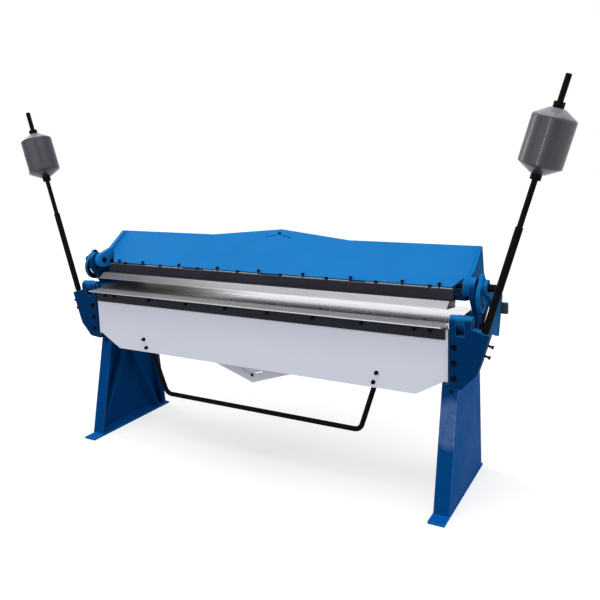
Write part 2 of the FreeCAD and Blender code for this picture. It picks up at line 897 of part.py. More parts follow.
def make_pivot_pins():
    """Headed pins through the cheek, the beam's rear eye and the stand's ear."""
    pins = []
    for side in (1, -1):
        at = ("%d * cheek_outer" % side, PIVOT[0], PIVOT[1])
        out = name_of(side)
        pins.append(fused("rear_pivot_pin", [
            cylinder("pivot_head", "pivot_head_radius", "pivot_head", at, out),
            cylinder("pivot_shank", "pivot_pin_radius",
                     "cheek_outer - stand_inner + pivot_pin_proud", at, out,
                     "stand_inner - cheek_outer - pivot_pin_proud + pivot_head / 2")]))
    group("rear_pivot_pins", pins)


def make_followers():
    """Pins fixed in the cheeks that the cams ride on."""
    pins = []
    for side in (1, -1):
        at = ("%d * block_outer" % side, "follower_back", "follower_height")
        collar_at = ("%d * cheek_outer" % side, "follower_back", "follower_height")
        out = name_of(side)
        pins.append(fused("follower_pin", [
            cylinder("follower_stem", "follower_radius",
                     "cam_outer - block_outer - follower_short", at, out),
            cylinder("follower_collar", "follower_collar_radius", "cam_gap - spacer_gap",
                     collar_at, out)]))
    group("cam_followers", pins)


# Folding beam


def make_lip():
    body = new_body("folding_lip")
    outline = [("0 - lip_depth", "bed_height"), ("0 - lip_gap", "bed_height"),
               ("0 - lip_gap", "lip_underside"), ("lip_bevel - lip_depth", "lip_underside"),
               ("0 - lip_depth", "bed_height - lip_nose")]
    add_feature(body, "Pad", "YZ_Plane", [outline], "0 - lip_half_length", "2 * lip_half_length")
    finish(body, "folding_lip")


def make_folding_bar():
    body = new_body("folding_bar")
    low = "lip_underside - bar_height"
    pad_front(body, [both_ways([("bar_half_length", low), ("bar_half_length", "lip_underside")])],
              "bar_front", "apron_front")
    doc.recompute()
    cut_front(body, [((x, "bar_bolt_height"), "bar_bolt_radius + bolt_gap")
                     for x in bar_bolt_places()], "bar_front", "apron_front")
    finish(body, "folding_bar")


def bar_bolt_places():
    return spaced(BAR_BOLTS, "bar_bolt_pitch") + ["bar_bolt_end", "0 - bar_bolt_end"]


def make_apron():
    """Flat apron, chamfered at its lower corners, with a thinner tongue under the lip."""
    body = new_body("apron_plate")
    outline = both_ways([
        ("apron_foot_half_length", "apron_bottom"),
        ("apron_half_length - apron_step", "apron_step_height"),
        ("apron_half_length", "apron_step_height"), ("apron_half_length", "apron_top")])
    pad_front(body, [outline], "apron_front", "apron_back")
    tongue = both_ways([("bar_half_length", "apron_top"), ("bar_half_length", "lip_underside")])
    pad_front(body, [tongue], "apron_front", "0 - apron_tongue_back")
    doc.recompute()
    cut_front(body, [((x, "bar_bolt_height"), "bar_bolt_radius + bolt_gap")
                     for x in bar_bolt_places()], "apron_front", "apron_back")
    cut_front(body, [((x, height), "handle_bolt_radius + bolt_gap")
                     for x, height in handle_bolt_places()], "apron_front", "apron_back")
    finish(body, "apron_plate")


def make_bar_bolts():
    screws = [bolt("bar_bolt", "front", (x, "bar_front", "bar_bolt_height"),
                   "bar_bolt_head_radius", "bar_bolt_head", "bar_bolt_radius",
                   "bar_thickness + apron_thickness / 2") for x in bar_bolt_places()]
    group("folding_bar_bolts", screws)


def make_apron_camber():
    """V-shaped plate behind the apron, with the slots and screw that set the camber."""
    body = new_body("apron_camber_plate")
    outline = both_ways([
        ("camber_half_width", "apron_bottom"),
        ("camber_half_width + camber_rise / 2", "apron_bottom + camber_rise")])
    outline.append(("0", "apron_bottom - camber_tip_drop"))
    pad_front(body, [outline], "apron_back", "apron_back + camber_plate")
    doc.recompute()
    slots = [mirrored(side, strip(
        ("camber_slot_in", "apron_bottom - camber_slot_in_drop"),
        ("camber_slot_out", "apron_bottom - camber_slot_out_drop"), "camber_slot_width"))
        for side in (1, -1)]
    height = "apron_bottom - camber_screw_drop"
    hole = (("0", height), "camber_screw_radius + bolt_gap")
    cut_front(body, slots + [hole], "apron_back", "apron_back + camber_plate")
    finish(body, "apron_camber_plate")
    screw = bolt("camber_screw", "front", ("0", "apron_back", height),
                 "camber_screw_head_radius", "camber_screw_head", "camber_screw_radius",
                 "camber_plate")
    group("apron_camber_screw", [screw])


def make_end_block(side):
    """Rebated block behind the apron's end, which the end bracket is bolted to."""
    label = name_of(side) + "_end_block"
    body = new_body(label)
    step = "(apron_half_length + bracket_inner) / 2"
    outline = mirrored(side, [
        ("end_block_inner", "apron_back"), (step, "apron_back"), (step, "bracket_back"),
        ("end_block_outer", "bracket_back"), ("end_block_outer", "end_block_back"),
        ("end_block_inner", "end_block_back")])
    pad_up(body, [outline], "end_block_low", "end_block_high")
    doc.recompute()
    cut_front(body, [((("%d * bracket_bolt_x" % side), height), "bracket_bolt_radius + bolt_gap")
                     for height in bracket_bolt_heights()], "bracket_back", "end_block_back")
    finish(body, label)


def bracket_bolt_heights():
    return ["bed_height - bracket_bolt_drop - %d * bracket_bolt_pitch" % step for step in range(3)]


def make_end_bracket(side):
    """Forked bracket: its two eyes hold the hinge pin, its bore the counterweight rod."""
    label = name_of(side) + "_end_bracket"
    body = new_body(label + "_plate")
    outline = mirrored(side, [
        ("bracket_inner", "hinge_height"), ("bracket_inner", "bracket_toe_top"),
        ("bracket_toe_inner", "bracket_toe_top"), ("bracket_toe_inner", "bracket_toe_bottom"),
        ("bracket_heel_outer", "bracket_heel_height"),
        ("bracket_knee_outer", "bracket_knee_height"),
        ("bracket_flank_outer", "bracket_flank_height"),
        ("bracket_ledge_outer", "bracket_ledge_low"),
        ("bracket_arm_outer", "bracket_ledge_high"), ("bracket_arm_outer", "hinge_height")])
    pad_front(body, [outline], "0 - bracket_front", "bracket_back")
    for inner, outer in (("bracket_inner", "arm_inner"), ("arm_outer", "bracket_arm_outer")):
        pad_side(body, side, [(HINGE, "bracket_eye_radius")], inner, outer)
    doc.recompute()
    slot = mirrored(side, [("arm_inner", "bracket_slot_bottom"),
                           ("arm_outer", "bracket_slot_bottom"),
                           ("arm_outer", "hinge_height + knuckle_radius"),
                           ("arm_inner", "hinge_height + knuckle_radius")])
    cut_front(body, [slot], "0 - bracket_front", "bracket_back")
    cut_side(body, side, [(HINGE, "hinge_bore")], "bracket_inner", "bracket_arm_outer")
    cut_front(body, [((("%d * bracket_bolt_x" % side), height), "bracket_bolt_radius + bolt_gap")
                     for height in bracket_bolt_heights()], "0 - bracket_front", "bracket_back")
    rounded(body, "XZ_Plane", mirrored(side, [
        ("bracket_heel_outer", "bracket_heel_height"),
        ("bracket_knee_outer", "bracket_knee_height")]), "bracket_bolt_radius * 2")
    bore = doc.addObject("Part::Cylinder", label + "_bore")
    bind(bore, "Radius", "rod_bore")
    bind(bore, "Height", "rod_tail + rod_bore_reach")
    set_place(bore, "%d * (rod_x - rod_tail * sin(rod_lean))" % side, "0 - rod_front",
              "rod_height - rod_tail * cos(rod_lean)", V(0, 1, 0), "%d * rod_lean" % side)
    tools = [bore]
    for step in ("clamp_screw_first", "clamp_screw_second"):
        hole = doc.addObject("Part::Cylinder", label + "_tapping")
        bind(hole, "Radius", "clamp_screw_radius + bolt_gap")
        bind(hole, "Height", "clamp_tapping")
        set_place(hole, "%d * (rod_x - %s * sin(rod_lean))" % (side, step), "0 - rod_front",
                  "rod_height - %s * cos(rod_lean)" % step, V(0, 1, 0),
                  "%d * (rod_lean + 90)" % side)
        tools.append(hole)
    cut_from(body, tools, label)


def make_bracket_bolts():
    screws = [bolt("bracket_bolt", "front",
                   ("%d * bracket_bolt_x" % side, "0 - bracket_front", height),
                   "bracket_bolt_head_radius", "bracket_bolt_head", "bracket_bolt_radius",
                   "bracket_bolt_reach")
              for side in (1, -1) for height in bracket_bolt_heights()]
    group("bracket_bolts", screws)


def make_hinge_pins():
    pins = [cylinder("hinge_pin", "hinge_pin_radius",
                     "bracket_arm_outer - bracket_inner + 2 * hinge_pin_proud",
                     ("%d * bracket_inner" % side, "0", "hinge_height"), name_of(side),
                     "0 - hinge_pin_proud") for side in (1, -1)]
    group("hinge_pins", pins)


# Counterweights


def revolved(label, profile, place):
    """A turned piece about its own Z axis; the profile is radius against height."""
    body = new_body(label)
    drawing = sketch_on(body, "XZ_Plane", "0")
    draw_polygon(drawing, profile)
    feature = body.newObject("PartDesign::Revolution", label + "_turned")
    feature.Profile = drawing
    feature.ReferenceAxis = (drawing, ["V_Axis"])
    feature.Angle = 360
    if place:
        finish(body, label, place)
    return body


def tube(outer, inner, bottom, top):
    return [(inner, bottom), (outer, bottom), (outer, top), (inner, top)]


def make_counterweight(side):
    here = name_of(side)
    place = place_rod(side)
    revolved(here + "_weight_rod", [("0", "0 - rod_tail"), ("rod_radius", "0 - rod_tail"),
                                    ("rod_radius", "rod_length - rod_chamfer"),
                                    ("rod_radius - rod_chamfer", "rod_length"),
                                    ("0", "rod_length")], place)
    revolved(here + "_rod_sleeve",
             tube("sleeve_radius", "rod_bore", "sleeve_start", "sleeve_length"), place)
    low = "weight_centre - weight_length / 2"
    high = "weight_centre + weight_length / 2"
    revolved(here + "_counterweight", [
        ("rod_bore", low + " - weight_cone"), ("weight_cone_radius", low + " - weight_cone"),
        ("weight_radius", low), ("weight_radius", high),
        ("weight_cone_radius", high + " + weight_cone"),
        ("rod_bore", high + " + weight_cone")], place)
    collars = [revolved(here + "_collar_turned", tube("collar_radius", "rod_bore", bottom, top),
                        None)
               for bottom, top in ((low + " - weight_cone - collar_length",
                                    low + " - weight_cone"),
                                   (high + " + weight_cone",
                                    high + " + weight_cone + collar_length"))]
    group(here + "_weight_collars", collars, place)


def make_rod_screws():
    """Two screws on each bracket's slanted edge that clamp the rod in its bore."""
    screws = []
    for side in (1, -1):
        out = name_of(side)
        shank = "clamp_screw_reach - rod_bore"
        pair = [bolt("rod_screw", out, ("%d * clamp_screw_reach" % side, "0", "0 - " + step),
                     "clamp_screw_head_radius", "clamp_screw_head", "clamp_screw_radius", shank)
                for step in ("clamp_screw_first", "clamp_screw_second")]
        both = doc.addObject("Part::Compound", out + "_rod_screws")
        both.Links = pair
        place_rod(side)(both)
        screws.append(both)
    group("rod_clamp_screws", screws, None)


# Pull handle


def handle_bolt_places():
    slant = "(handle_top_x - handle_foot_x) / (handle_top_height - handle_foot_height)"
    return [("%d * (handle_top_x - (handle_top_height - %s) * %s)" % (side, height, slant), height)
            for side in (1, -1) for height in ("handle_bolt_high", "handle_bolt_low")]


def make_handle():
    """Round bar bent into a wide U, bolted behind the apron."""
    top = V(number("handle_top_x"), number("handle_top_back"), number("handle_top_height"))
    foot = V(number("handle_foot_x"), number("handle_foot_back"), number("handle_foot_height"))
    radius = number("handle_bend")
    down = (foot - top).normalize()
    inward = V(-1, 0, 0)
    half_turn = down.getAngle(inward) / 2
    back_off = radius * math.tan(half_turn)
    bend_start = foot - down * back_off
    bend_end = foot + inward * back_off
    towards = (inward - down).normalize()
    middle = foot + towards * (radius / math.cos(half_turn) - radius)
    right = [top, bend_start, middle, bend_end]
    left = [V(-point.x, point.y, point.z) for point in right]
    edges = [Part.LineSegment(right[0], right[1]), Part.Arc(*right[1:]),
             Part.LineSegment(right[3], left[3]), Part.Arc(left[3], left[2], left[1]),
             Part.LineSegment(left[1], left[0])]
    path = Part.Wire([edge.toShape() for edge in edges])
    ring = Part.Wire([Part.Circle(top, down, number("handle_radius")).toShape()])
    bar = path.makePipeShell([ring], True, False)
    handle = doc.addObject("Part::Feature", "pull_handle_bar")
    handle.Shape = bar
    tools = [cylinder("handle_bolt_hole", "handle_bolt_radius + bolt_gap", "handle_radius * 2",
                      (x, "handle_top_back", height), "front", "0 - handle_radius / 2")
             for x, height in handle_bolt_places()]
    cut_from(handle, tools, "pull_handle")


def make_handle_bolts():
    screws = [bolt("handle_bolt", "front", (x, "apron_front", height), "handle_bolt_head_radius",
                   "handle_bolt_head", "handle_bolt_radius", "apron_thickness + handle_radius")
              for x, height in handle_bolt_places()]
    group("pull_handle_bolts", screws)


# Clamping beam, drawn closed and set open by its placement


def make_blade():
    body = new_body("clamp_blade")
    land = "blade_bottom + blade_land"
    outline = [("blade_tip_back", "blade_bottom"), ("blade_depth", "blade_bottom"),
               ("blade_depth", "blade_top"), ("blade_tip_back + blade_top - (%s)" % land,
                                              "blade_top"), ("blade_tip_back", land)]
    add_feature(body, "Pad", "YZ_Plane", [outline], "0 - blade_half_length",
                "2 * blade_half_length")
    finish(body, "clamp_blade", place_clamp)


def make_holder_bar():
    body = new_body("blade_holder_bar")
    outline = [("holder_front", "blade_top"), ("holder_back", "blade_top"),
               ("holder_back", "holder_top"), ("holder_front", "holder_top")]
    add_feature(body, "Pad", "YZ_Plane", [outline], "0 - holder_half_length",
                "2 * holder_half_length")
    finish(body, "blade_holder_bar", place_clamp)


def make_clamp_base():
    body = new_body("clamp_base_plate")
    outline = [("holder_back", "blade_top"), ("base_back", "blade_top"),
               ("base_back", "base_top"), ("holder_back", "base_top")]
    add_feature(body, "Pad", "YZ_Plane", [outline], "0 - slope_half_length",
                "2 * slope_half_length")
    finish(body, "clamp_base_plate", place_clamp)


def make_slope():
    """Sloping top plate, with a low gable in the middle and the slots of its camber screw."""
    body = new_body("clamp_top_plate")
    outline = both_ways([("slope_foot_half_length", "0"),
                         ("slope_half_length", "slope_corner_cut"),
                         ("slope_half_length", "slope_length"),
                         ("gable_half_length", "slope_length")])
    outline.insert(4, ("0", "slope_length + gable_rise"))
    pad_up(body, [outline], "0 - slope_plate", "0")
    doc.recompute()
    slots = [mirrored(side, strip(("wing_slot_in", "wing_slot_in_up"),
                                  ("wing_slot_out", "wing_slot_out_up"), "wing_slot_width"))
             for side in (1, -1)]
    hole = (("0", "wing_screw_up"), "camber_screw_radius + bolt_gap")
    cut_up(body, slots + [hole], "0 - slope_plate", "0")
    finish(body, "clamp_top_plate", place_slope)
    screw = bolt("top_camber_screw", "up", ("0", "wing_screw_up", "0"),
                 "camber_screw_head_radius", "camber_screw_head", "camber_screw_radius",
                 "slope_plate")
    group("clamp_camber_screw", [screw], place_slope)


def slope_under(back):
    """Height of the sloping plate's underside at a distance behind the bend line."""
    corner = "slope_front + slope_plate * sin(slope_angle)"
    return "holder_top + slope_seat + ((%s) - (%s)) * tan(slope_angle)" % (back, corner)


def make_gussets():
    """Upright ribs between the base plate and the sloping plate."""
    plates = []
    for step in range(-2, 3):
        body = new_body("clamp_gusset")
        outline = [("holder_back", "base_top"), ("gusset_back", "base_top"),
                   ("gusset_back", "base_top + gusset_heel"),
                   ("gusset_top_back", slope_under("gusset_top_back")),
                   ("holder_back", slope_under("holder_back"))]
        add_feature(body, "Pad", "YZ_Plane", [outline],
                    "%d * gusset_pitch - gusset_plate / 2" % step, "gusset_plate")
        plates.append(body)
    group("clamp_gussets", plates, place_clamp)


def make_end_plate(side):
    """Side plate of the clamping beam, from the shaft's boss to the rear eye."""
    label = name_of(side) + "_clamp_end_plate"
    body = new_body(label)
    peak = ("end_plate_peak_back", "end_plate_peak_height")
    rear = ("end_plate_rear_back", "end_plate_rear_height")
    throat = ("end_plate_throat_back", "end_plate_throat_height")
    shoulder = ("end_plate_shoulder_back", "end_plate_shoulder_height")
    boss_top = tangent(SHAFT, "boss_radius", shoulder, "0", 1)[0]
    boss_low = tangent(SHAFT, "boss_radius", throat, "0", -1)[0]
    eye_top = tangent(rear, "0", PIVOT, "pivot_eye_radius", 1)[1]
    eye_low = tangent(throat, "0", PIVOT, "pivot_eye_radius", -1)[1]
    outline = [boss_top, shoulder, peak, rear, eye_top, PIVOT, eye_low, throat, boss_low, SHAFT]
    pad_side(body, side, [outline], "slope_half_length", "end_outer")
    pad_side(body, side, [(SHAFT, "boss_radius")], "slope_half_length", "boss_outer")
    pad_side(body, side, [(PIVOT, "pivot_eye_radius")],
             "stand_half_span + pivot_side_gap", "block_outer - pivot_side_gap")
    rounded(body, "YZ_Plane", [peak], "pivot_eye_radius / 4")
    cut_side(body, side, [(SHAFT, "shaft_bore")], "slope_half_length", "boss_outer")
    cut_side(body, side, [(PIVOT, "pivot_bore")], "stand_half_span", "block_outer")
    finish(body, label, place_clamp)


def make_end_studs():
    """A round stay at each end, from the last gusset to the end plate."""
    studs = []
    start = "2 * gusset_pitch + gusset_plate / 2 + gusset_gap"
    for side in (1, -1):
        at = ("%d * (%s)" % (side, start), "end_stud_back", "end_stud_height")
        studs.append(cylinder("end_stud", "end_stud_radius",
                              "slope_half_length - gusset_gap - (%s)" % start, at, name_of(side)))
    group("clamp_end_studs", studs, place_clamp)


def make_tall_screws():
    """Adjusting screws that stand out of the holder bar's top edge on a bare neck."""
    places = ["%d * tall_screw_pitch" % step for step in range(-3, 4)]
    places += ["tall_screw_end", "0 - tall_screw_end"]
    screws = []
    for x in places:
        at = (x, "bar_screw_back", "holder_top")
        screws.append(fused("tall_screw", [
            cylinder("tall_neck", "tall_screw_neck_radius",
                     "tall_screw_neck + tall_screw_head / 2", at, "up"),
            cylinder("tall_head", "bar_screw_head_radius", "tall_screw_head", at, "up",
                     "tall_screw_neck")]))
    group("holder_tall_screws", screws, place_clamp)


def make_low_screws():
    """Fixing screws between the tall ones, their heads seated on the holder bar."""
    heads = [cylinder("low_screw", "bar_screw_head_radius", "low_screw_head",
                      (x, "bar_screw_back", "holder_top"), "up")
             for x in spaced(LOW_SCREWS, "low_screw_pitch")]
    group("holder_low_screws", heads, place_clamp)


# Clamp shafts: each turns a cam against its fixed follower


def make_shaft(side):
    """Stepped shaft with the spacer that keeps the cam off the cheek."""
    label = name_of(side) + "_clamp_shaft"
    out = name_of(side)
    centre = ("%d * slope_half_length" % side, "0", "0")
    long = "lever_outer + shaft_proud - slope_half_length"
    parts = [cylinder(label + "_bar", "shaft_radius", long, centre, out),
             cylinder(label + "_end", "shaft_end_radius", "2 * shaft_end_length", centre, out,
                      "0 - shaft_end_length"),
             cylinder(label + "_spacer", "spacer_radius", "cam_gap - spacer_gap", centre, out,
                      "cheek_outer + spacer_gap - slope_half_length")]
    finish(fused(label, parts), label, place_shaft)


def follower_path(share):
    """The follower as the cam sees it, while the cam turns at a fixed ratio to the beam."""
    angle = share * math.radians(number("clamp_open"))
    centre = shaft_path(share)
    y = number("follower_back") - centre.y
    z = number("follower_height") - centre.z
    turn = -(1 + number("cam_ratio")) * angle
    return V(0, y * math.cos(turn) - z * math.sin(turn), y * math.sin(turn) + z * math.cos(turn))


def make_cam(side):
    label = name_of(side) + "_cam_plate"
    body = new_body(label + "_blank")
    pad_side(body, side, [(("0", "0 - cam_drop"), "cam_radius")], "cam_inner", "cam_outer")
    fin = [("0 - cam_fin_half_width", "0"), ("cam_fin_half_width", "0"),
           ("cam_fin_half_width / 8", "cam_fin_height"),
           ("0 - cam_fin_half_width / 8", "cam_fin_height")]
    pad_side(body, side, [fin], "cam_inner", "cam_outer")
    doc.recompute()
    cut_side(body, side, [(("0", "0"), "shaft_bore")], "cam_inner", "cam_outer")
    start = number(side_start(side, "cam_inner", "cam_outer"))
    slot = slot_solid(label + "_slot", follower_path,
                      number("follower_radius + follower_gap"), start - CUT_OVERRUN,
                      number("cam_plate") + 2 * CUT_OVERRUN)
    cut_from(body, [slot], label, place_shaft)


def make_lever(side):
    """Hand lever: a hub, an arm back and down, and a broad leg with a finger slot."""
    label = name_of(side) + "_clamp_lever"
    body = new_body(label)
    hub = ("0", "0")
    corner = ("lever_arm_back - lever_corner_radius", "lever_corner_radius - lever_arm_drop")
    heel = ("lever_heel_back", "0 - lever_heel_drop")
    toe = ("lever_toe_back", "0 - lever_toe_drop")
    shoulder = ("lever_shoulder_back", "0 - lever_shoulder_drop")
    arm_top = tangent(hub, "lever_arm_width / 2", corner, "lever_corner_radius", 1)
    arm_low = tangent(hub, "lever_arm_width / 2", shoulder, "0", -1)
    leg_back = tangent(heel, "0", corner, "lever_corner_radius", -1)[1]
    outline = [arm_top[0], arm_top[1], corner, leg_back, heel, toe, shoulder, arm_low[0], hub]
    rounds = [(hub, "lever_hub_radius"), (corner, "lever_corner_radius")]
    pad_side(body, side, [outline], "cam_outer", "lever_outer")
    for spot, radius in rounds:
        pad_side(body, side, [(spot, radius)], "cam_outer", "lever_outer")
    rounded(body, "YZ_Plane", [heel, toe], "lever_foot_radius")
    notch_top = ("lever_notch_back", "0 - lever_notch_drop")
    notch_foot = ("lever_notch_back - lever_notch_length",
                  "0 - lever_notch_drop - lever_notch_length / 2")
    cut_side(body, side, [(hub, "shaft_bore")], "cam_outer", "lever_outer")
    cut_side(body, side, [strip(notch_top, notch_foot, "lever_notch_width")],
             "cam_outer", "lever_outer")
    finish(body, label, place_shaft)


def make_grip(side):
    """Moulded grip block on the outer face of the lever's corner."""
    label = name_of(side) + "_lever_grip"
    body = new_body(label)
    back = "lever_arm_back"
    top = "0 - lever_arm_drop + lever_corner_radius - grip_drop"
    outline = [(back + " - grip_width", top), (back, top), (back, top + " - grip_length"),
               (back + " - grip_width", top + " - grip_length")]
    pad_side(body, side, [outline], "lever_outer", "lever_outer + grip_thickness")
    rounded(body, "YZ_Plane", outline, "grip_round")
    finish(body, label, place_shaft)


def build():
    fill_sheet()
    for side in (1, -1):
        make_foot(side)
        make_stand_panel(side)
        make_hinge_block(side)
        make_cheek(side)
        make_end_block(side)
        make_end_bracket(side)
        make_counterweight(side)
        make_end_plate(side)
        make_shaft(side)
        make_cam(side)
        make_lever(side)
        make_grip(side)
    make_stand_ribs()
    make_bed_table()
    make_bed_girder()
    make_cheek_bolts()
    make_pivot_pins()
    make_followers()
    make_lip()
    make_folding_bar()
    make_apron()
    make_bar_bolts()
    make_apron_camber()
    make_bracket_bolts()
    make_hinge_pins()
    make_rod_screws()
    make_handle()
    make_handle_bolts()
    make_blade()
    make_holder_bar()
    make_clamp_base()
    make_slope()
    make_gussets()
    make_end_studs()
    make_tall_screws()
    make_low_screws()
    doc.recompute()


def check():
    for item in doc.Objects:
        if "Invalid" in item.State or "Error" in item.State:
            raise RuntimeError(item.Label + " did not compute")
    for label, item in nodes.items():
        if item.Shape.isNull() or not item.Shape.isValid() or not item.Shape.Solids:
            raise RuntimeError(label + " has no valid solid")


def write():
    os.makedirs("parts", exist_ok=True)
    for label, item in sorted(nodes.items()):
        item.Shape.exportStep("parts/%s.step" % label)
        print("%-26s %d solids" % (label, len(item.Shape.Solids)))
    print(len(nodes), "nodes")


build()
check()
write()
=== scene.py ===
import json
import math

import bpy
from bpy.props import FloatProperty, FloatVectorProperty, PointerProperty
from mathutils import Matrix, Vector

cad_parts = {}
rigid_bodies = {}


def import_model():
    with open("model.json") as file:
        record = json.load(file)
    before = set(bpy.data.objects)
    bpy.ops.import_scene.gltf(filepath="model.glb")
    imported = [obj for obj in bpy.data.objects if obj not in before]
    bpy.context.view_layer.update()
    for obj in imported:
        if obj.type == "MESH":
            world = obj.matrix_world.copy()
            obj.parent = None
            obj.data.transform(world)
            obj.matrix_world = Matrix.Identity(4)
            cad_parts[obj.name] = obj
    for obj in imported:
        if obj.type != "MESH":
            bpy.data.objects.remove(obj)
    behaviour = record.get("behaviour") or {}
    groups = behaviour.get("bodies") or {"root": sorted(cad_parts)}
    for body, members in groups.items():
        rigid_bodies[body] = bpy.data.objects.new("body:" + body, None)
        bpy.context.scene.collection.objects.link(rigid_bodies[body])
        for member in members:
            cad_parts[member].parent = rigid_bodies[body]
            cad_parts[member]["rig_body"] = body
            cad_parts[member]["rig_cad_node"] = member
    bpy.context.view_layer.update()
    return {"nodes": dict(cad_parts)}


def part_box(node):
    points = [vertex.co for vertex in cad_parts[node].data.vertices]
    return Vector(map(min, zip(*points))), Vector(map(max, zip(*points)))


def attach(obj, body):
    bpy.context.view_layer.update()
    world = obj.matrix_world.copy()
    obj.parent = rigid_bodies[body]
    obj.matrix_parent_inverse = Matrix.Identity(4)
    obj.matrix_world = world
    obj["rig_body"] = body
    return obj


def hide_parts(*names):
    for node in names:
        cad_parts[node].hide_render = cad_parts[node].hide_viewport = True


bl_info = {
    "name": "Sheet Metal Folder Finish",
    "version": (1, 0, 0),
    "blender": (4, 5, 0),
    "location": "3D View > Sidebar > Folder",
    "description": "Rounds, details and paints the packed sheet metal folder",
    "category": "Object",
}

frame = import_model()
NODES = frame["nodes"]

SIDES = ("left", "right")
FRONT = Vector((0, -1, 0))
UP = Vector((0, 0, 1))
# Points closer than this are one; the others are looser
MERGE = 1e-5
NEAR = 20 * MERGE
ROUGHLY = 50 * MERGE
SMOOTH = math.radians(35)
SHARP = math.radians(30)

# What the settings of one kind share
COLOUR = {"subtype": "COLOR", "size": 3, "min": 0, "max": 1}
LENGTH = {"subtype": "DISTANCE", "unit": "LENGTH", "min": 0}
POWER = {"subtype": "POWER", "unit": "POWER", "min": 0}
ANGLE = {"subtype": "ANGLE", "unit": "ROTATION"}


class FolderColours(bpy.types.PropertyGroup):
    blue: FloatVectorProperty(
        name="Blue enamel", description="Paint of the clamping beam",
        default=(0.006, 0.158, 0.445), **COLOUR)
    stand_blue: FloatVectorProperty(
        name="Stand enamel", description="Paint of the stands and the cheeks",
        default=(0.0, 0.054, 0.205), **COLOUR)
    # Painted shade: the blue darkened, standing in for the shade on the end brackets, end
    # blocks and cheeks
    deep_blue: FloatVectorProperty(
        name="Deep blue enamel", description="Paint of the end brackets",
        default=(0.0, 0.029, 0.112), **COLOUR)
    grey: FloatVectorProperty(
        name="Apron grey", description="Enamel of the apron plate",
        default=(0.68, 0.705, 0.805), **COLOUR)
    steel: FloatVectorProperty(
        name="Ground steel", description="Bare ground faces of the bed, lip and blade",
        default=(0.50, 0.50, 0.53), **COLOUR)
    dark: FloatVectorProperty(
        name="Dark bars", description="Coating of the folding bar and the holder bar",
        default=(0.016, 0.017, 0.025), **COLOUR)
    black: FloatVectorProperty(
        name="Blackened steel", description="Screws, rods and the pull handle",
        default=(0.0022, 0.0022, 0.003), **COLOUR)
    weight: FloatVectorProperty(
        name="Weight grey", description="Gloss paint of the counterweights",
        default=(0.021, 0.022, 0.032), **COLOUR)
    rubber: FloatVectorProperty(
        name="Grip rubber", description="Moulded grips of the hand levers",
        default=(0.018, 0.018, 0.022), **COLOUR)


class FolderSizes(bpy.types.PropertyGroup):
    plate_edge: FloatProperty(
        name="Plate edge", description="Rounding of the painted plates' edges",
        default=0.0016, **LENGTH)
    ground_edge: FloatProperty(
        name="Ground edge", description="Broken edge of the ground bars",
        default=0.0009, **LENGTH)
    turned_edge: FloatProperty(
        name="Turned edge", description="Chamfer of the turned pieces",
        default=0.0012, **LENGTH)
    weight_edge: FloatProperty(
        name="Weight edge", description="Rounding of the counterweights' rims",
        default=0.0030, **LENGTH)
    weight_neck: FloatProperty(
        name="Weight neck", description="Radius of the counterweights' cones at the collars",
        default=0.030, **LENGTH)
    washer: FloatProperty(
        name="Washer", description="Thickness of the washers and of the handle's pads",
        default=0.0015, **LENGTH)
    weld_radius: FloatProperty(
        name="Weld bead", description="Half width of a weld bead",
        default=0.0040, **LENGTH)
    bare_edge: FloatProperty(
        name="Bare edge", description="Chamfer rubbed bare along the bars and the blade",
        default=0.0018, **LENGTH)
    tall_head: FloatProperty(
        name="Adjusting screw head", description="Height of the adjusting screws' heads",
        default=0.011, **LENGTH)
    tall_neck: FloatProperty(
        name="Adjusting screw neck", description="Radius of the adjusting screws' threads",
        default=0.0045, **LENGTH)
    bed_screw: FloatProperty(
        name="Bed screw", description="Radius of the countersunk screws in the bed",
        default=0.0072, **LENGTH)
    bed_screw_pitch: FloatProperty(
        name="Bed screw pitch", description="Distance from one bed screw to the next",
        default=0.261, **LENGTH)
    bed_screw_back: FloatProperty(
        name="Bed screw place", description="Distance of the bed screws from the bed's edge",
        default=0.033, **LENGTH)
    set_screw: FloatProperty(
        name="Set screw", description="Radius of the small set screws",
        default=0.0035, **LENGTH)
    stand_bolt: FloatProperty(
        name="Stand bolt", description="Width across the flats of the stand bolts",
        default=0.013, **LENGTH)
    stand_bolt_height: FloatProperty(
        name="Stand bolt height", description="Height of the stand bolts over the floor",
        default=0.539, **LENGTH)


class FolderStage(bpy.types.PropertyGroup):
    key_power: FloatProperty(
        name="Overhead light", description="Power of the overhead softbox",
        default=130, **POWER)
    side_power: FloatProperty(
        name="Side light", description="Power of the softbox on the right",
        default=170, **POWER)
    left_power: FloatProperty(
        name="Left light", description="Power of the softbox on the left",
        default=180, **POWER)
    front_power: FloatProperty(
        name="Front light", description="Power of the softbox behind the camera",
        default=215, **POWER)
    strip_power: FloatProperty(
        name="Strip light", description="Power of the tall strip softbox on the left",
        default=45, **POWER)
    fill: FloatProperty(
        name="Room fill", description="Strength of the light from all around",
        default=0.24, min=0)
    lens: FloatProperty(
        name="Lens", description="Focal length of the camera",
        default=40.0, min=1, unit="CAMERA")
    yaw: FloatProperty(
        name="Yaw", description="Turn of the camera from straight at the front",
        default=math.radians(28.3), **ANGLE)
    pitch: FloatProperty(
        name="Pitch", description="Tilt of the camera below the level",
        default=math.radians(8.6), **ANGLE)
    roll: FloatProperty(
        name="Roll", description="Roll of the camera about its own axis",
        default=math.radians(-1.5), **ANGLE)


# Modelling helpers


def only(piece):
    if bpy.context.object and bpy.context.object.mode != "OBJECT":
        bpy.ops.object.mode_set(mode="OBJECT")
    bpy.ops.object.select_all(action="DESELECT")
    piece.select_set(True)
    bpy.context.view_layer.objects.active = piece


def started(name):
    """Name the primitive that was just added and leave it the only one selected."""
    piece = bpy.context.object
    piece.name = name
    piece.data.name = name
    only(piece)
    return piece


def edit(piece):
    only(piece)
    bpy.ops.object.mode_set(mode="EDIT")


def done():
    bpy.ops.object.mode_set(mode="OBJECT")


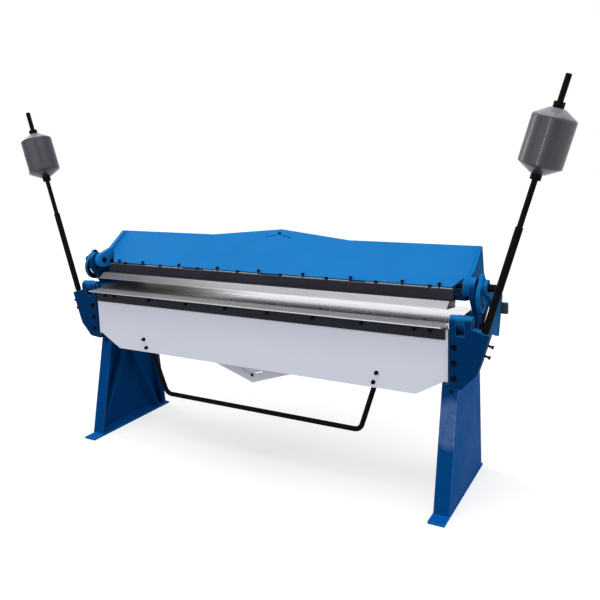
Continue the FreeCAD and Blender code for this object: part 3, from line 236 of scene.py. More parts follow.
def pick(piece, kind, test):
    """In edit mode, select only the faces or edges for which the test holds."""
    edit(piece)
    bpy.ops.mesh.select_mode(type="FACE" if kind == "polygons" else "EDGE")
    bpy.ops.mesh.select_all(action="DESELECT")
    done()
    found = 0
    for item in getattr(piece.data, kind):
        item.select = bool(test(item))
        found += item.select
    if not found:
        raise RuntimeError(piece.name + ": nothing to select")
    bpy.ops.object.mode_set(mode="EDIT")


def apply_modifier(piece, kind, **settings):
    only(piece)
    modifier = piece.modifiers.new(kind.title(), kind)
    for key, value in settings.items():
        setattr(modifier, key, value)
    bpy.ops.object.modifier_apply(modifier=modifier.name)


def smooth(piece, angle=SMOOTH):
    only(piece)
    bpy.ops.object.shade_smooth_by_angle(angle=angle)
    apply_modifier(piece, "WEIGHTED_NORMAL", mode="FACE_AREA", weight=50, keep_sharp=True)


def freeze(piece):
    """Move the piece's place, turn and scale into its mesh."""
    only(piece)
    bpy.ops.object.transform_apply(location=True, rotation=True, scale=True)


def joined(pieces, name):
    only(pieces[0])
    for piece in pieces[1:]:
        piece.select_set(True)
    if len(pieces) > 1:
        bpy.ops.object.join()
    return started(name)


def paint(piece, *materials):
    """Give the piece its materials and keep which face has which."""
    places = [face.material_index for face in piece.data.polygons]
    piece.data.materials.clear()
    for material in materials:
        piece.data.materials.append(material)
    for face, place in zip(piece.data.polygons, places):
        face.material_index = min(place, len(materials) - 1)


def settle(piece, body, finish, *nodes):
    """Freeze and paint a finished piece, attach it to its body and hide the CAD nodes it stands
    for.
    """
    finishes = finish if isinstance(finish, tuple) else (finish,)
    freeze(piece)
    paint(piece, *(FINISHES[name] for name in finishes))
    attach(piece, body)
    SLOTS.get(finishes[0], "blue_paint")
    if nodes:
        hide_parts(*nodes)


def merged_copy(node_name, name):
    """A copy of a CAD node with its loose triangles merged into plain faces."""
    node = NODES[node_name]
    piece = node.copy()
    piece.data = node.data.copy()
    piece.name = name
    piece.data.name = name
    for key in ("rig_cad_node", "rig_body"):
        del piece[key]
    piece.parent = None
    piece.hide_viewport = piece.hide_render = False
    bpy.context.scene.collection.objects.link(piece)
    only(piece)
    bpy.ops.mesh.customdata_custom_splitnormals_clear()
    edit(piece)
    bpy.ops.mesh.select_all(action="SELECT")
    bpy.ops.mesh.remove_doubles(threshold=MERGE)
    bpy.ops.mesh.dissolve_limited(angle_limit=math.radians(0.6))
    done()
    return piece


def round_edges(piece, width, segments=2, sharp=SHARP):
    apply_modifier(piece, "BEVEL", width=width, segments=segments, limit_method="ANGLE",
                   angle_limit=sharp)
    smooth(piece)


def rounded(node_name, width, finish, shape=None, sharp=SHARP):
    """The CAD node's own shape with its sharp edges rounded, after any extra shaping."""
    piece = merged_copy(node_name, node_name + "_finished")
    if shape:
        shape(piece)
    round_edges(piece, width, sharp=sharp)
    settle(piece, NODES[node_name]["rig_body"], finish, node_name)


def loose_parts(node_name):
    """Each separate solid of a CAD node, as a scratch object that is deleted after use."""
    piece = merged_copy(node_name, "loose")
    edit(piece)
    bpy.ops.mesh.select_all(action="SELECT")
    bpy.ops.mesh.separate(type="LOOSE")
    done()
    for part in list(bpy.context.selected_objects):
        yield part
        bpy.data.objects.remove(part)


def along(seat):
    """Order of seats: from left to right, then from front to back and upwards."""
    return tuple(seat[0])


def screw_seats(node_name):
    """Top centre, axis, radius and length of each round solid of a CAD node."""
    seats = []
    for part in loose_parts(node_name):
        cap = max((face for face in part.data.polygons if len(face.vertices) > 8),
                  key=lambda face: (round(face.area, 7), face.center.z))
        length = max((cap.center - v.co).dot(cap.normal) for v in part.data.vertices)
        seats.append((cap.center.copy(), cap.normal.copy(), math.sqrt(cap.area / math.pi),
                      length))
    return sorted(seats, key=along)


def front_bolts(node_name):
    """Centre of the front end and head radius of each bolt that points straight back."""
    seats = []
    for part in loose_parts(node_name):
        spans = [(min(axis), max(axis)) for axis in zip(*(v.co for v in part.data.vertices))]
        (left, right), (front, _), (low, high) = spans
        seats.append((Vector(((left + right) / 2, front, (low + high) / 2)),
                      (right - left) / 2))
    return sorted(seats, key=along)


def long_edges(node_name, test, shortest=0.1):
    """Ends of the CAD node's straight edges that are long enough and pass the test."""
    piece = merged_copy(node_name, "edges")
    found = []
    for edge in piece.data.edges:
        start, end = (piece.data.vertices[i].co.copy() for i in edge.vertices)
        if (end - start).length > shortest and test(start) and test(end):
            found.append((start, end))
    bpy.data.objects.remove(piece)
    if not found:
        raise RuntimeError(node_name + ": no such edge")
    return found


def largest_face(node_name, test):
    """Centre and normal of the largest flat face of a CAD node that passes the test."""
    piece = merged_copy(node_name, "faces")
    face = max((face for face in piece.data.polygons if test(face.normal)),
               key=lambda face: face.area)
    centre, normal = face.center.copy(), face.normal.copy()
    bpy.data.objects.remove(piece)
    return centre, normal


def turned_levels(node_name, at, axis):
    """Heights along the axis of a turned node: end, shoulder, shoulder, end; its radius."""
    piece = merged_copy(node_name, "levels")
    points = []
    for vertex in piece.data.vertices:
        height = (vertex.co - at).dot(axis)
        points.append((height, (vertex.co - at - axis * height).length))
    bpy.data.objects.remove(piece)
    radius = max(r for _, r in points)
    widest = [h for h, r in points if r > radius - ROUGHLY]
    ends = [h for h, _ in points]
    return min(ends), min(widest), max(widest), max(ends), radius


# New pieces, modelled standing on Z with their top at height zero

THREAD_ROOT = 0.84
NEXT_TURN = 0.7
WASHER_GAP = 0.0002
WELD_STEP = 0.005
MOST_CUTS = 100


def cylinder(name, radius, depth, sides=32):
    bpy.ops.object.select_all(action="DESELECT")
    bpy.ops.mesh.primitive_cylinder_add(vertices=sides, radius=radius, depth=depth,
                                        location=(0, 0, -depth / 2))
    piece = started(name)
    freeze(piece)
    return piece


def stepped(piece, up, rise, inset=0.0, scale=1.0):
    """Inset the end face, push it along Z and scale it about the axis."""
    end = max(v.co.z * up for v in piece.data.vertices)
    pick(piece, "polygons", lambda face: (face.normal.z * up > 0.9
                                          and face.center.z * up > end - MERGE))
    if inset:
        bpy.ops.mesh.inset(thickness=inset)
    bpy.ops.mesh.extrude_region_move(TRANSFORM_OT_translate={"value": (0, 0, rise)})
    bpy.ops.transform.resize(value=(scale, scale, 1), center_override=(0, 0, 0))
    done()


def rim(piece, height, width, segments=1):
    """Bevel the round edge at the given height."""
    points = piece.data.vertices
    pick(piece, "edges", lambda edge: all(abs(points[i].co.z - height) < MERGE
                                          for i in edge.vertices))
    bpy.ops.mesh.bevel(offset=width, segments=segments, affect="EDGES")
    done()


def cut_by(piece, tools):
    """Take the shape of each tool out of the piece, and delete the tools."""
    tool = joined(tools, "tool")
    freeze(tool)
    apply_modifier(piece, "BOOLEAN", operation="DIFFERENCE", solver="EXACT", object=tool)
    bpy.data.objects.remove(tool)


def cut_hexagon(piece, radius, depth):
    """Sink a hexagon socket into the top."""
    key = cylinder("key", radius, 2 * depth, 6)
    key.location.z = depth
    cut_by(piece, [key])


def socket_screw(name, head, height, neck, length, pitch=0.0016):
    """A socket screw: rounded head with a hexagon socket, and below it a ridged neck."""
    screw = cylinder(name, head, height)
    rim(screw, 0, head * 0.16, 2)
    rim(screw, -height, head * 0.08)
    if length > height:
        stepped(screw, -1, -pitch / 2, inset=head - neck)
        for _ in range(int((length - height) / pitch)):
            stepped(screw, -1, -pitch / 2, scale=THREAD_ROOT)
            stepped(screw, -1, -pitch / 2, scale=1 / THREAD_ROOT)
    cut_hexagon(screw, head * 0.55, height * 0.55)
    smooth(screw)
    return screw


def hexagon_bolt(name, flats, height):
    """A hexagon head on a round washer, its top chamfered."""
    radius = flats / math.sqrt(3)
    head = cylinder(name, radius, height, 6)
    rim(head, 0, height * 0.14)
    washer = cylinder("washer", radius * 1.22, height * 0.3)
    rim(washer, 0, height * 0.06)
    washer.location.z = -height * 0.98
    bolt = joined([head, washer], name)
    freeze(bolt)
    smooth(bolt)
    return bolt


def placed(model, name, at, axis, turn=0.0):
    """A copy of the model with its own mesh, its top at a place and turned to an axis."""
    piece = model.copy()
    piece.data = model.data.copy()
    piece.name = name
    bpy.context.scene.collection.objects.link(piece)
    facing = Vector(axis).to_track_quat("Z", "Y").to_matrix()
    piece.rotation_euler = (facing @ Matrix.Rotation(turn, 3, "Z")).to_euler()
    piece.location = at
    return piece


def copies(model, name, seats):
    """One piece made of turned copies of the model, one at each seat; deletes the model."""
    made = [placed(model, name, at, axis, step * NEXT_TURN)
            for step, (at, axis, *_) in enumerate(seats)]
    bpy.data.objects.remove(model)
    return joined(made, name)


def faces_front(normal):
    return normal.y < -0.7


def on_wall(node_name, point):
    """The point moved straight onto the large front face of a CAD node, and its normal."""
    centre, normal = largest_face(node_name, faces_front)
    return point - normal * (point - centre).dot(normal), normal


def washers(bolts, wall, thickness, reach, lift=0.0):
    """Rings around the heads of a CAD node's bolts, lying on the wall that they clamp."""
    seats = []
    for at, radius in front_bolts(bolts):
        foot, normal = on_wall(wall, at)
        seats.append((foot + normal * (thickness + lift), normal))
    ring = cylinder("ring", radius * reach, thickness)
    rim(ring, 0, thickness * 0.4)
    hole = cylinder("hole", radius + WASHER_GAP, 3 * thickness)
    hole.location.z = thickness
    cut_by(ring, [hole])
    smooth(ring)
    rings = copies(ring, bolts[:-1] + "_washers", seats)
    settle(rings, NODES[bolts]["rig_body"], "black")


def climbs(piece, edge, distance):
    """Whether an edge's ends lie further apart along Z than the distance."""
    one, two = (piece.data.vertices[i].co for i in edge.vertices)
    return abs(one.z - two.z) > distance


def weld_bead(start, end, radius):
    """An uneven bead of weld along the line between two points."""
    length = (end - start).length
    bead = cylinder("bead", radius, length, 8)
    pick(bead, "edges", lambda edge: climbs(bead, edge, length / 2))
    bpy.ops.mesh.subdivide(number_cuts=min(MOST_CUTS, int(length / WELD_STEP)))
    done()
    for height in (0, -length):
        rim(bead, height, radius * 0.5)
    ripple = bpy.data.textures.new("weld_ripple", "CLOUDS")
    ripple.noise_scale = radius * 1.6
    apply_modifier(bead, "DISPLACE", texture=ripple, strength=radius * 0.7, mid_level=0.5)
    bpy.data.textures.remove(ripple)
    bead.rotation_euler = (start - end).to_track_quat("Z", "Y").to_euler()
    bead.location = start
    freeze(bead)
    return bead


def welds(name, lines, radius, body, finish):
    piece = joined([weld_bead(start, end, radius) for start, end in lines], name)
    smooth(piece, math.radians(60))
    settle(piece, body, finish)


def upper_front_edge(piece):
    """Test for the long edge along X that is highest in front."""
    points = [v.co for v in piece.data.vertices]
    length = max(p.x for p in points) - min(p.x for p in points)
    best = max(p.z - p.y for p in points)

    def is_on_it(edge):
        one, two = (piece.data.vertices[i].co for i in edge.vertices)
        near = min(one.z - one.y, two.z - two.y) > best - NEAR
        return near and abs(one.x - two.x) > length / 3

    return is_on_it


def bare_edge(piece, width):
    """Chamfer the upper front edge and give the chamfer the piece's second material."""
    paint(piece, None, None)
    pick(piece, "edges", upper_front_edge(piece))
    bpy.ops.mesh.bevel(offset=width, segments=1, affect="EDGES", material=1)
    done()


# Materials

# A painted reflection patch, a painted top light, the ground under a chip, and how far
# right the painted dark reflection reaches
REFLECTION_PATCH_COLOUR = (0.066, 0.130, 0.32)
TOP_LIGHT_GREY = (0.200, 0.204, 0.232)
CHIP = (0.36, 0.42, 0.50)
DARK_REFLECTION_EDGE = -0.12
FINISHES = {}

# The slot of a piece by its first finish; the others are blue paint
SLOTS = {"grey": "apron_grey", "plate": "apron_grey", "lip": "ground_steel",
         "bed": "ground_steel", "blade": "ground_steel", "dark": "dark_steel",
         "black": "black_steel", "weight": "weight_grey", "rubber": "grip_black"}


class Finish:
    """A material with its shader, and short ways to add the nodes that feed it."""

    def __init__(self, name, sockets):
        self.material = bpy.data.materials.new(name)
        self.material.use_nodes = True
        self.tree = self.material.node_tree
        self.shader = self.tree.nodes["Principled BSDF"]
        for key, value in sockets.items():
            self.shader.inputs[key].default_value = value
        self.place = self.add("ShaderNodeTexCoord").outputs["Object"]

    def add(self, kind, inputs=None, **settings):
        """A node with its settings, and its inputs set to values or linked to sockets."""
        node = self.tree.nodes.new(kind)
        for key, value in settings.items():
            setattr(node, key, value)
        for key, value in (inputs or {}).items():
            if isinstance(value, bpy.types.NodeSocket):
                self.feed(value, node, key)
            else:
                node.inputs[key].default_value = value
        return node

    def feed(self, source, node, socket):
        self.tree.links.new(source, node.inputs[socket])

    def stretched(self, scale):
        node = self.add("ShaderNodeMapping", {"Scale": scale, "Vector": self.place})
        return node.outputs["Vector"]

    def noise(self, scale, detail=3, roughness=0.5, vector=None):
        node = self.add("ShaderNodeTexNoise", {
            "Scale": scale, "Detail": detail, "Roughness": roughness,
            "Vector": vector or self.place})
        return node.outputs["Fac"]

    def ramp(self, source, low, high, start, end):
        node = self.add("ShaderNodeMapRange", {
            "Value": source, "From Min": low, "From Max": high, "To Min": start,
            "To Max": end})
        return node.outputs["Result"]

    def times(self, one, two):
        return self.add("ShaderNodeMath", {0: one, 1: two}, operation="MULTIPLY").outputs[0]

    def raised(self, base, one, two):
        """The base plus the product of the other two."""
        return self.add("ShaderNodeMath", {0: one, 1: two, 2: base},
                        operation="MULTIPLY_ADD").outputs[0]

    def mix(self, share, one, two):
        """A blend of two colours, each of them a tuple or another node's socket."""
        one, two = ((*c, 1) if isinstance(c, tuple) else c for c in (one, two))
        return self.add("ShaderNodeMix", {0: share, 6: one, 7: two},
                        data_type="RGBA").outputs[2]

    def patch(self, centre, reach):
        """1 at a place on the piece, falling to 0 at the reach along each axis."""
        scaled = self.add("ShaderNodeMapping", {
            "Scale": [1 / r for r in reach], "Vector": self.place,
            "Location": [-c / r for c, r in zip(centre, reach)]})
        ball = self.add("ShaderNodeTexGradient", {"Vector": scaled.outputs["Vector"]},
                        gradient_type="SPHERICAL")
        return ball.outputs["Fac"]

    def facing(self, axis, low, high):
        """How far the surface faces along an axis of the piece, from 0 to 1."""
        normal = self.add("ShaderNodeTexCoord").outputs["Normal"]
        split = self.add("ShaderNodeSeparateXYZ", {"Vector": normal})
        return self.ramp(split.outputs[axis], low, high, 0, 1)

    def edges(self, radius, low, high):
        """How near the surface is to a sharp edge, from 0 to 1."""
        bevel = self.add("ShaderNodeBevel", {"Radius": radius}, samples=6)
        flat = self.add("ShaderNodeNewGeometry").outputs["True Normal"]
        dot = self.add("ShaderNodeVectorMath", {0: bevel.outputs["Normal"], 1: flat},
                       operation="DOT_PRODUCT")
        return self.ramp(dot.outputs["Value"], high, low, 0, 1)

    def finished(self, colour, roughness, height, strength, distance):
        """Feed the shader its colour, roughness and bump, and give the material."""
        bump = self.add("ShaderNodeBump", {
            "Strength": strength, "Distance": distance, "Height": height})
        for source, socket in ((colour, "Base Color"), (roughness, "Roughness"),
                               (bump.outputs["Normal"], "Normal")):
            self.feed(source, self.shader, socket)
        return self.material


def shade(colour, share):
    return tuple(min(1.0, c * share) for c in colour)


def enamel(name, colour, chip=CHIP, rough=(0.46, 0.60), chips=0.62, gloss_level=0.015,
           uneven=0.06, edge=(0.25, 0.5, 0.8), scuff=None, tints=()):
    """Sprayed enamel: slight unevenness, orange peel, a painted highlight along the edges and
    small chips.

    A tint is an axis, two limits of how far the surface faces it, and a colour; the tints
    paint light or shade by which way a face turns. The reflection patch is the centre and the
    reach of a pale patch on the front: a painted reflection, with worn speckles at its edges.
    """
    made = Finish(name, {"Specular IOR Level": gloss_level})
    broad = made.ramp(made.noise(2.6, 4, 0.6), 0.3, 0.7, 0, 1)
    base = made.mix(broad, shade(colour, 1 - uneven), shade(colour, 1 + uneven))
    fine = made.ramp(made.noise(170, 2, 0.6), 0.35, 0.65, 0, 0.5)
    base = made.mix(fine, base, shade(colour, 1 - 2 * uneven))
    # Painted light and shade: each tint mixes in a lighter or darker colour by which way a face
    # turns
    for axis, low, high, tint in tints:
        base = made.mix(made.facing(axis, low, high), base, tint)
    # Painted highlight: the colour is mixed lighter along sharp edges, where the edges would
    # catch the light
    corner = made.edges(0.003, 0.72, 0.97)
    painted_light = tuple(c + (e - c) * 0.5 for c, e in zip(shade(colour, 1.6), edge))
    base = made.mix(made.times(corner, 0.45), base, painted_light)
    worn = made.times(corner, made.ramp(made.noise(70, 4, 0.65), chips, chips + 0.05, 0, 1))
    base = made.mix(worn, base, chip)
    specks = made.ramp(made.noise(95, 2, 0.5), 0.775, 0.80, 0, 0.75)
    base = made.mix(specks, base, chip)
    if scuff:
        # Painted reflection: a pale patch on the front of the flange, with worn speckles along
        # its edges
        rubbed = made.times(made.ramp(made.patch(*scuff), 0.05, 0.35, 0, 1),
                            made.ramp(made.noise(34, 5, 0.7), 0.30, 0.56, 0.45, 1))
        rubbed = made.times(rubbed, made.facing("Y", -0.6, -0.9))
        base = made.mix(rubbed, base, REFLECTION_PATCH_COLOUR)
        rough_spots = made.ramp(made.noise(90, 4, 0.7), 0.45, 0.6, 0, 1)
        bare = made.times(rubbed, made.times(made.edges(0.009, 0.72, 0.97), rough_spots))
        base = made.mix(bare, base, chip)
    return made.finished(base, made.ramp(made.noise(9, 3), 0.3, 0.7, *rough),
                         made.noise(420, 2, 0.5), 0.10, 0.0006)


def ground(name, colour, metal=1.0, dark_reflection=0.0, uneven=0.14, rough=(0.24, 0.36)):
    """Surface ground along X: fine grain, faint waves, and when asked for, a painted dark
    reflection on the left.
    """
    made = Finish(name, {"Metallic": metal})
    grain = made.noise(1, 4, 0.6, made.stretched((6, 900, 900)))
    broad = made.noise(3.5, 4, 0.6, made.stretched((0.5, 6, 6)))
    tone = made.mix(made.ramp(broad, 0.3, 0.72, 0, 1), shade(colour, 1 - uneven),
                    shade(colour, 1.08))
    streak = made.ramp(grain, 0.35, 0.65, 0.0, 0.20)
    tone = made.mix(streak, tone, shade(colour, 0.55))
    dull = made.ramp(grain, 0.3, 0.7, *rough)
    if dark_reflection:
        # Painted reflection: the left end is made darker, standing in for the dark underside of
        # the beam mirrored in it, and rougher
        along_x = made.add("ShaderNodeSeparateXYZ", {"Vector": made.place}).outputs["X"]
        wavy = made.raised(along_x, broad, 0.5)
        dark_reflection_share = made.ramp(wavy, DARK_REFLECTION_EDGE - 0.25, DARK_REFLECTION_EDGE + 0.3, dark_reflection, 0)
        tone = made.mix(dark_reflection_share, tone, shade(colour, 0.13))
        dull = made.raised(dull, dark_reflection_share, 0.42)
    return made.finished(tone, dull, grain, 0.12, 0.0003)


def coated(name, colour, light, rough, rub=1.0, gloss_level=0.07):
    """Thin dark coating on bar stock, lighter on its edges: partly rubbed wear, partly a
    painted highlight.
    """
    made = Finish(name, {"Specular IOR Level": gloss_level})
    grain = made.noise(1, 3, 0.6, made.stretched((8, 300, 300)))
    broad = made.noise(5, 4, 0.6)
    base = made.mix(made.ramp(broad, 0.3, 0.7, 0, 1), shade(colour, 0.8), shade(colour, 1.2))
    # Painted highlight with wear: a lighter colour along the sharp edges, partly rubbed
    # coating, partly light caught by the edges
    rubbed = made.times(made.edges(0.0022, 0.78, 0.96),
                        made.ramp(grain, 0.3, 0.6, 0.3 * rub, rub))
    return made.finished(made.mix(rubbed, base, light), made.ramp(grain, 0.3, 0.7, *rough),
                         grain, 0.15, 0.0004)


def gloss(name, colour):
    """Thick gloss paint over turned iron, with a painted light grey where it faces up, standing
    in for light from above.
    """
    made = Finish(name, {"Coat Weight": 0.22, "Coat Roughness": 0.06,
                         "Specular IOR Level": 0.30})
    broad = made.noise(6, 4, 0.6)
    base = made.mix(made.ramp(broad, 0.3, 0.7, 0, 1), shade(colour, 0.9), shade(colour, 1.1))
    # Painted light: faces that turn up are mixed towards a light grey
    painted_top_light = made.times(made.facing("Z", 0.45, 0.95),
                      made.ramp(made.noise(22, 4, 0.6), 0.3, 0.6, 0.7, 0.95))
    return made.finished(made.mix(painted_top_light, base, TOP_LIGHT_GREY),
                         made.ramp(made.noise(14, 3), 0.3, 0.7, 0.36, 0.46),
                         made.noise(160, 2), 0.06, 0.0006)


def rubber(name, colour):
    """Moulded rubber, fine grained and dull."""
    made = Finish(name, {"Specular IOR Level": 0.25})
    base = made.mix(made.noise(30, 4, 0.6), shade(colour, 0.8), shade(colour, 1.5))
    return made.finished(base, made.ramp(made.noise(60, 3), 0.3, 0.7, 0.5, 0.68),
                         made.noise(900, 2), 0.25, 0.0004)


def mix_finishes():
    """Make one material for each finish of the machine."""
    colours = bpy.context.scene.folder_colours
    blue, stand, deep = (tuple(c) for c in (colours.blue, colours.stand_blue,
                                            colours.deep_blue))
    steel = colours.steel
    right_flange = ((1.045, -0.175, 0.405), (0.10, 0.10, 0.135))
    # Painted light: faces that turn up are mixed towards the bright blue, as if lit from above
    painted_light = [("Z", 0.15, 0.8, shade(blue, 0.9))]
    # Painted shade: faces turned to the right, the left cam's inner faces, are made near black
    in_shade = ("X", 0.4, 0.8, (0.001, 0.003, 0.008))
    # Painted light: faces turned to the right are made lighter, as if lit from that side
    painted_side_light = ("X", 0.5, 0.9, shade(stand, 1.5))
    FINISHES.update(
        blue=enamel("blue_enamel", blue, gloss_level=0.05),
        # Painted shade: darker copies of the blue for the right end plate, the right cam, the
        # levers, the hinge blocks and pins, and the left cam
        end=enamel("end_plate_enamel", shade(blue, 0.62), gloss_level=0.005, tints=painted_light),
        hinge=enamel("hinge_enamel", shade(blue, 0.42), tints=painted_light),
        cam=enamel("cam_enamel", shade(blue, 0.62), tints=[*painted_light, in_shade]),
        # Painted light: the feet take the stand blue made twice as light, standing in for the
        # light on their tops
        foot=enamel("foot_enamel", shade(stand, 2.0)),
        stand=enamel("stand_enamel", stand),
        scuffed=enamel("scuffed_stand_enamel", stand, scuff=right_flange,
                       tints=[painted_side_light]),
        # Painted shade: the darkest copy of the blue for the end brackets, end blocks and
        # cheeks, and a near black one for the clamp's base plate
        deep=enamel("deep_blue_enamel", deep, tints=painted_light),
        inside=enamel("inside_enamel", shade(stand, 0.3)),
        grey=enamel("apron_enamel", tuple(colours.grey), (0.82, 0.82, 0.84),
                    rough=(0.5, 0.6), chips=0.2, gloss_level=0.05, uneven=0.012,
                    edge=(1, 1, 1)),
        plate=enamel("camber_plate_enamel", shade(colours.grey, 0.75), (0.6, 0.6, 0.62),
                     rough=(0.42, 0.55), chips=0.4, gloss_level=0.05, edge=(1, 1, 1)),
        lip=ground("lip_steel", shade(steel, 1.2), metal=0.7),
        bed=ground("bed_steel", shade(steel, 1.95), dark_reflection=0.9, uneven=0.22,
                   rough=(0.10, 0.22)),
        blade=ground("blade_steel", shade(steel, 0.34)),
        bare=ground("bare_edge_steel", shade(steel, 0.55)),
        dark=coated("dark_coating", tuple(colours.dark), light=(0.34, 0.31, 0.29),
                    rough=(0.45, 0.6), rub=0.5),
        worn=coated("worn_coating", (0.17, 0.155, 0.145), light=(0.3, 0.28, 0.26),
                    rough=(0.45, 0.6)),
        black=coated("blackened_steel", tuple(colours.black), light=(0.02, 0.02, 0.024),
                     rough=(0.36, 0.5), rub=0.3, gloss_level=0.03),
        weight=gloss("weight_paint", tuple(colours.weight)),
        rubber=rubber("grip_rubber", shade(colours.rubber, 1.3)))


# Pieces


class FOLDER_OT_stands(bpy.types.Operator):
    """Round and paint the feet, the stand panels and their ribs, with welds and bolts"""
    bl_idname = "folder.stands"
    bl_label = "Stands"

    def execute(self, context):
        sizes = context.scene.folder_sizes
        for name, finish in (("left_foot", "foot"), ("left_stand_panel", "stand"),
                             ("right_foot", "foot"), ("right_stand_panel", "scuffed"),
                             ("stand_ribs", "stand")):
            rounded(name, sizes.plate_edge, finish)
        self.weld_ribs(sizes.weld_radius)
        self.weld_feet(sizes.weld_radius)
        self.add_bolts(sizes)
        return {"FINISHED"}

    def weld_ribs(self, radius):
        web = abs(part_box("stand_ribs")[1].x)
        lines = long_edges("stand_ribs", lambda co: abs(abs(co.x) - web) < MERGE,
                           shortest=0.25)
        welds("rib_welds", lines, radius, "root", "stand")

    def weld_feet(self, radius):
        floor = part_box("right_stand_panel")[0].z
        lines = []
        for side in SIDES:
            lines += long_edges(side + "_stand_panel", lambda co: abs(co.z - floor) < MERGE,
                                shortest=0.03)
        welds("foot_welds", lines, radius, "root", "foot")

    def add_bolts(self, sizes):
        """A bolt through each stand's front flange, near the outer side."""
        inset, head = 0.030, sizes.stand_bolt * 0.6
        z = sizes.stand_bolt_height
        seats = []
        for panel, place, side in (("left_stand_panel", -1, 0), ("right_stand_panel", 1, 1)):
            centre, normal = largest_face(panel, faces_front)
            x = place * (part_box(panel)[side].x * place - inset)
            y = centre.y - normal.z * (z - centre.z) / normal.y
            seats.append((Vector((x, y, z)) + normal * head, normal))
        bolt = hexagon_bolt("stand_bolt", sizes.stand_bolt, head)
        settle(copies(bolt, "stand_bolts", seats), "root", "black")


class FOLDER_OT_bed(bpy.types.Operator):
    """Round and finish the bed table, its girder, the hinge blocks and the cheeks"""
    bl_idname = "folder.bed"
    bl_label = "Bed"

    def execute(self, context):
        sizes = context.scene.folder_sizes
        self.add_table(sizes)
        rounded("bed_girder", sizes.plate_edge, "stand")
        for side in SIDES:
            rounded(side + "_hinge_block", sizes.plate_edge, "hinge")
            rounded(side + "_cheek", sizes.plate_edge, "deep")
        for name in ("rear_pivot_pins", "cam_followers"):
            rounded(name, sizes.turned_edge, "black")
        return {"FINISHED"}

    def add_table(self, sizes):
        """The table, sunk for a row of screws that lie just below its top."""
        low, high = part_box("bed_table")
        radius, depth = sizes.bed_screw, sizes.bed_screw * 0.6
        below, chamfer, gap, lift, room = 0.0003, 0.0003, 0.0006, 0.0004, 0.0005
        y = low.y + sizes.bed_screw_back
        places = [Vector((sizes.bed_screw_pitch * step / 2, y, high.z - below))
                  for step in range(-7, 8, 2)]
        sink = cylinder("sink", radius + gap, depth + room)
        rim(sink, 0, chamfer)
        sinks = copies(sink, "sinks", [(at + lift * UP, UP) for at in places])
        rounded("bed_table", sizes.ground_edge, "bed", lambda table: cut_by(table, [sinks]))
        screw = cylinder("bed_screw", radius, depth)
        rim(screw, 0, radius * 0.12)
        cut_hexagon(screw, radius * 0.5, depth * 0.7)
        smooth(screw)
        settle(copies(screw, "bed_screws", [(at, UP) for at in places]), "root", "black")


class FOLDER_OT_folding_beam(bpy.types.Operator):
    """Finish the folding beam: lip, bar, apron, camber plate, brackets, pads and washers"""
    bl_idname = "folder.folding_beam"
    bl_label = "Folding Beam"

    def execute(self, context):
        sizes = context.scene.folder_sizes
        edge, washer = sizes.plate_edge, sizes.washer
        rounded("folding_lip", sizes.ground_edge, ("lip", "bare"),
                lambda lip: bare_edge(lip, sizes.bare_edge))
        self.add_bar(sizes)
        rounded("apron_plate", edge, "grey")
        rounded("apron_camber_plate", edge, "plate")
        for side in SIDES:
            rounded(side + "_end_block", edge, "deep")
            rounded(side + "_end_bracket", edge, "deep")
        rounded("hinge_pins", sizes.turned_edge, "hinge")
        rounded("pull_handle", sizes.turned_edge, "black")
        self.add_pads(washer)
        washers("bracket_bolts", "right_end_bracket", washer, reach=1.45)
        washers("folding_bar_bolts", "folding_bar", washer, reach=1.25)
        washers("pull_handle_bolts", "apron_plate", washer, reach=1.3, lift=washer)
        return {"FINISHED"}

    def add_bar(self, sizes):
        """The dark bar, drilled for small set screws between its large ones."""
        radius = sizes.set_screw
        gap, hole, start = 0.0003, 0.006, 0.001
        length, socket, sunk = 0.0035, 0.002, 0.0012
        seats = front_bolts("folding_bar_bolts")
        pitch = seats[-2][0].x - seats[-3][0].x
        front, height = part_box("folding_bar")[0].y, seats[0][0].z
        places = [Vector((pitch * step, front, height)) for step in (-3, -1, 1, 3)]
        drill = cylinder("drill", radius + gap, hole)
        drills = copies(drill, "drills", [(at + start * FRONT, FRONT) for at in places])
        rounded("folding_bar", sizes.ground_edge, "dark", lambda bar: cut_by(bar, [drills]))
        screw = cylinder("set_screw", radius, length)
        cut_hexagon(screw, radius * 0.55, socket)
        screws = copies(screw, "bar_set_screws", [(at - sunk * FRONT, FRONT) for at in places])
        smooth(screws)
        settle(screws, "folding_beam", "black")

    def add_pads(self, thickness):
        """A flat pad under each pair of handle bolts."""
        width, corner = 0.034, 0.005
        seats = front_bolts("pull_handle_bolts")
        pads = []
        for pair in (seats[:2], seats[2:]):
            one, two = (on_wall("apron_plate", seat[0])[0] for seat in pair)
            normal = on_wall("apron_plate", one)[1]
            lengthwise = (two - one).normalized()
            bpy.ops.object.select_all(action="DESELECT")
            bpy.ops.mesh.primitive_cube_add(size=1)
            pad = started("pad")
            pad.scale = (width, (two - one).length + width, thickness)
            freeze(pad)
            pick(pad, "edges", lambda edge: climbs(pad, edge, thickness / 2))
            bpy.ops.mesh.bevel(offset=corner, segments=3, affect="EDGES")
            done()
            turn = Matrix((lengthwise.cross(normal), lengthwise, normal)).transposed()
            pad.rotation_euler = turn.to_euler()
            pad.location = (one + two) / 2 + normal * thickness / 2
            freeze(pad)
            pads.append(pad)
        pads = joined(pads, "handle_pads")
        round_edges(pads, thickness * 0.3, 1, math.radians(60))
        settle(pads, "folding_beam", "grey")


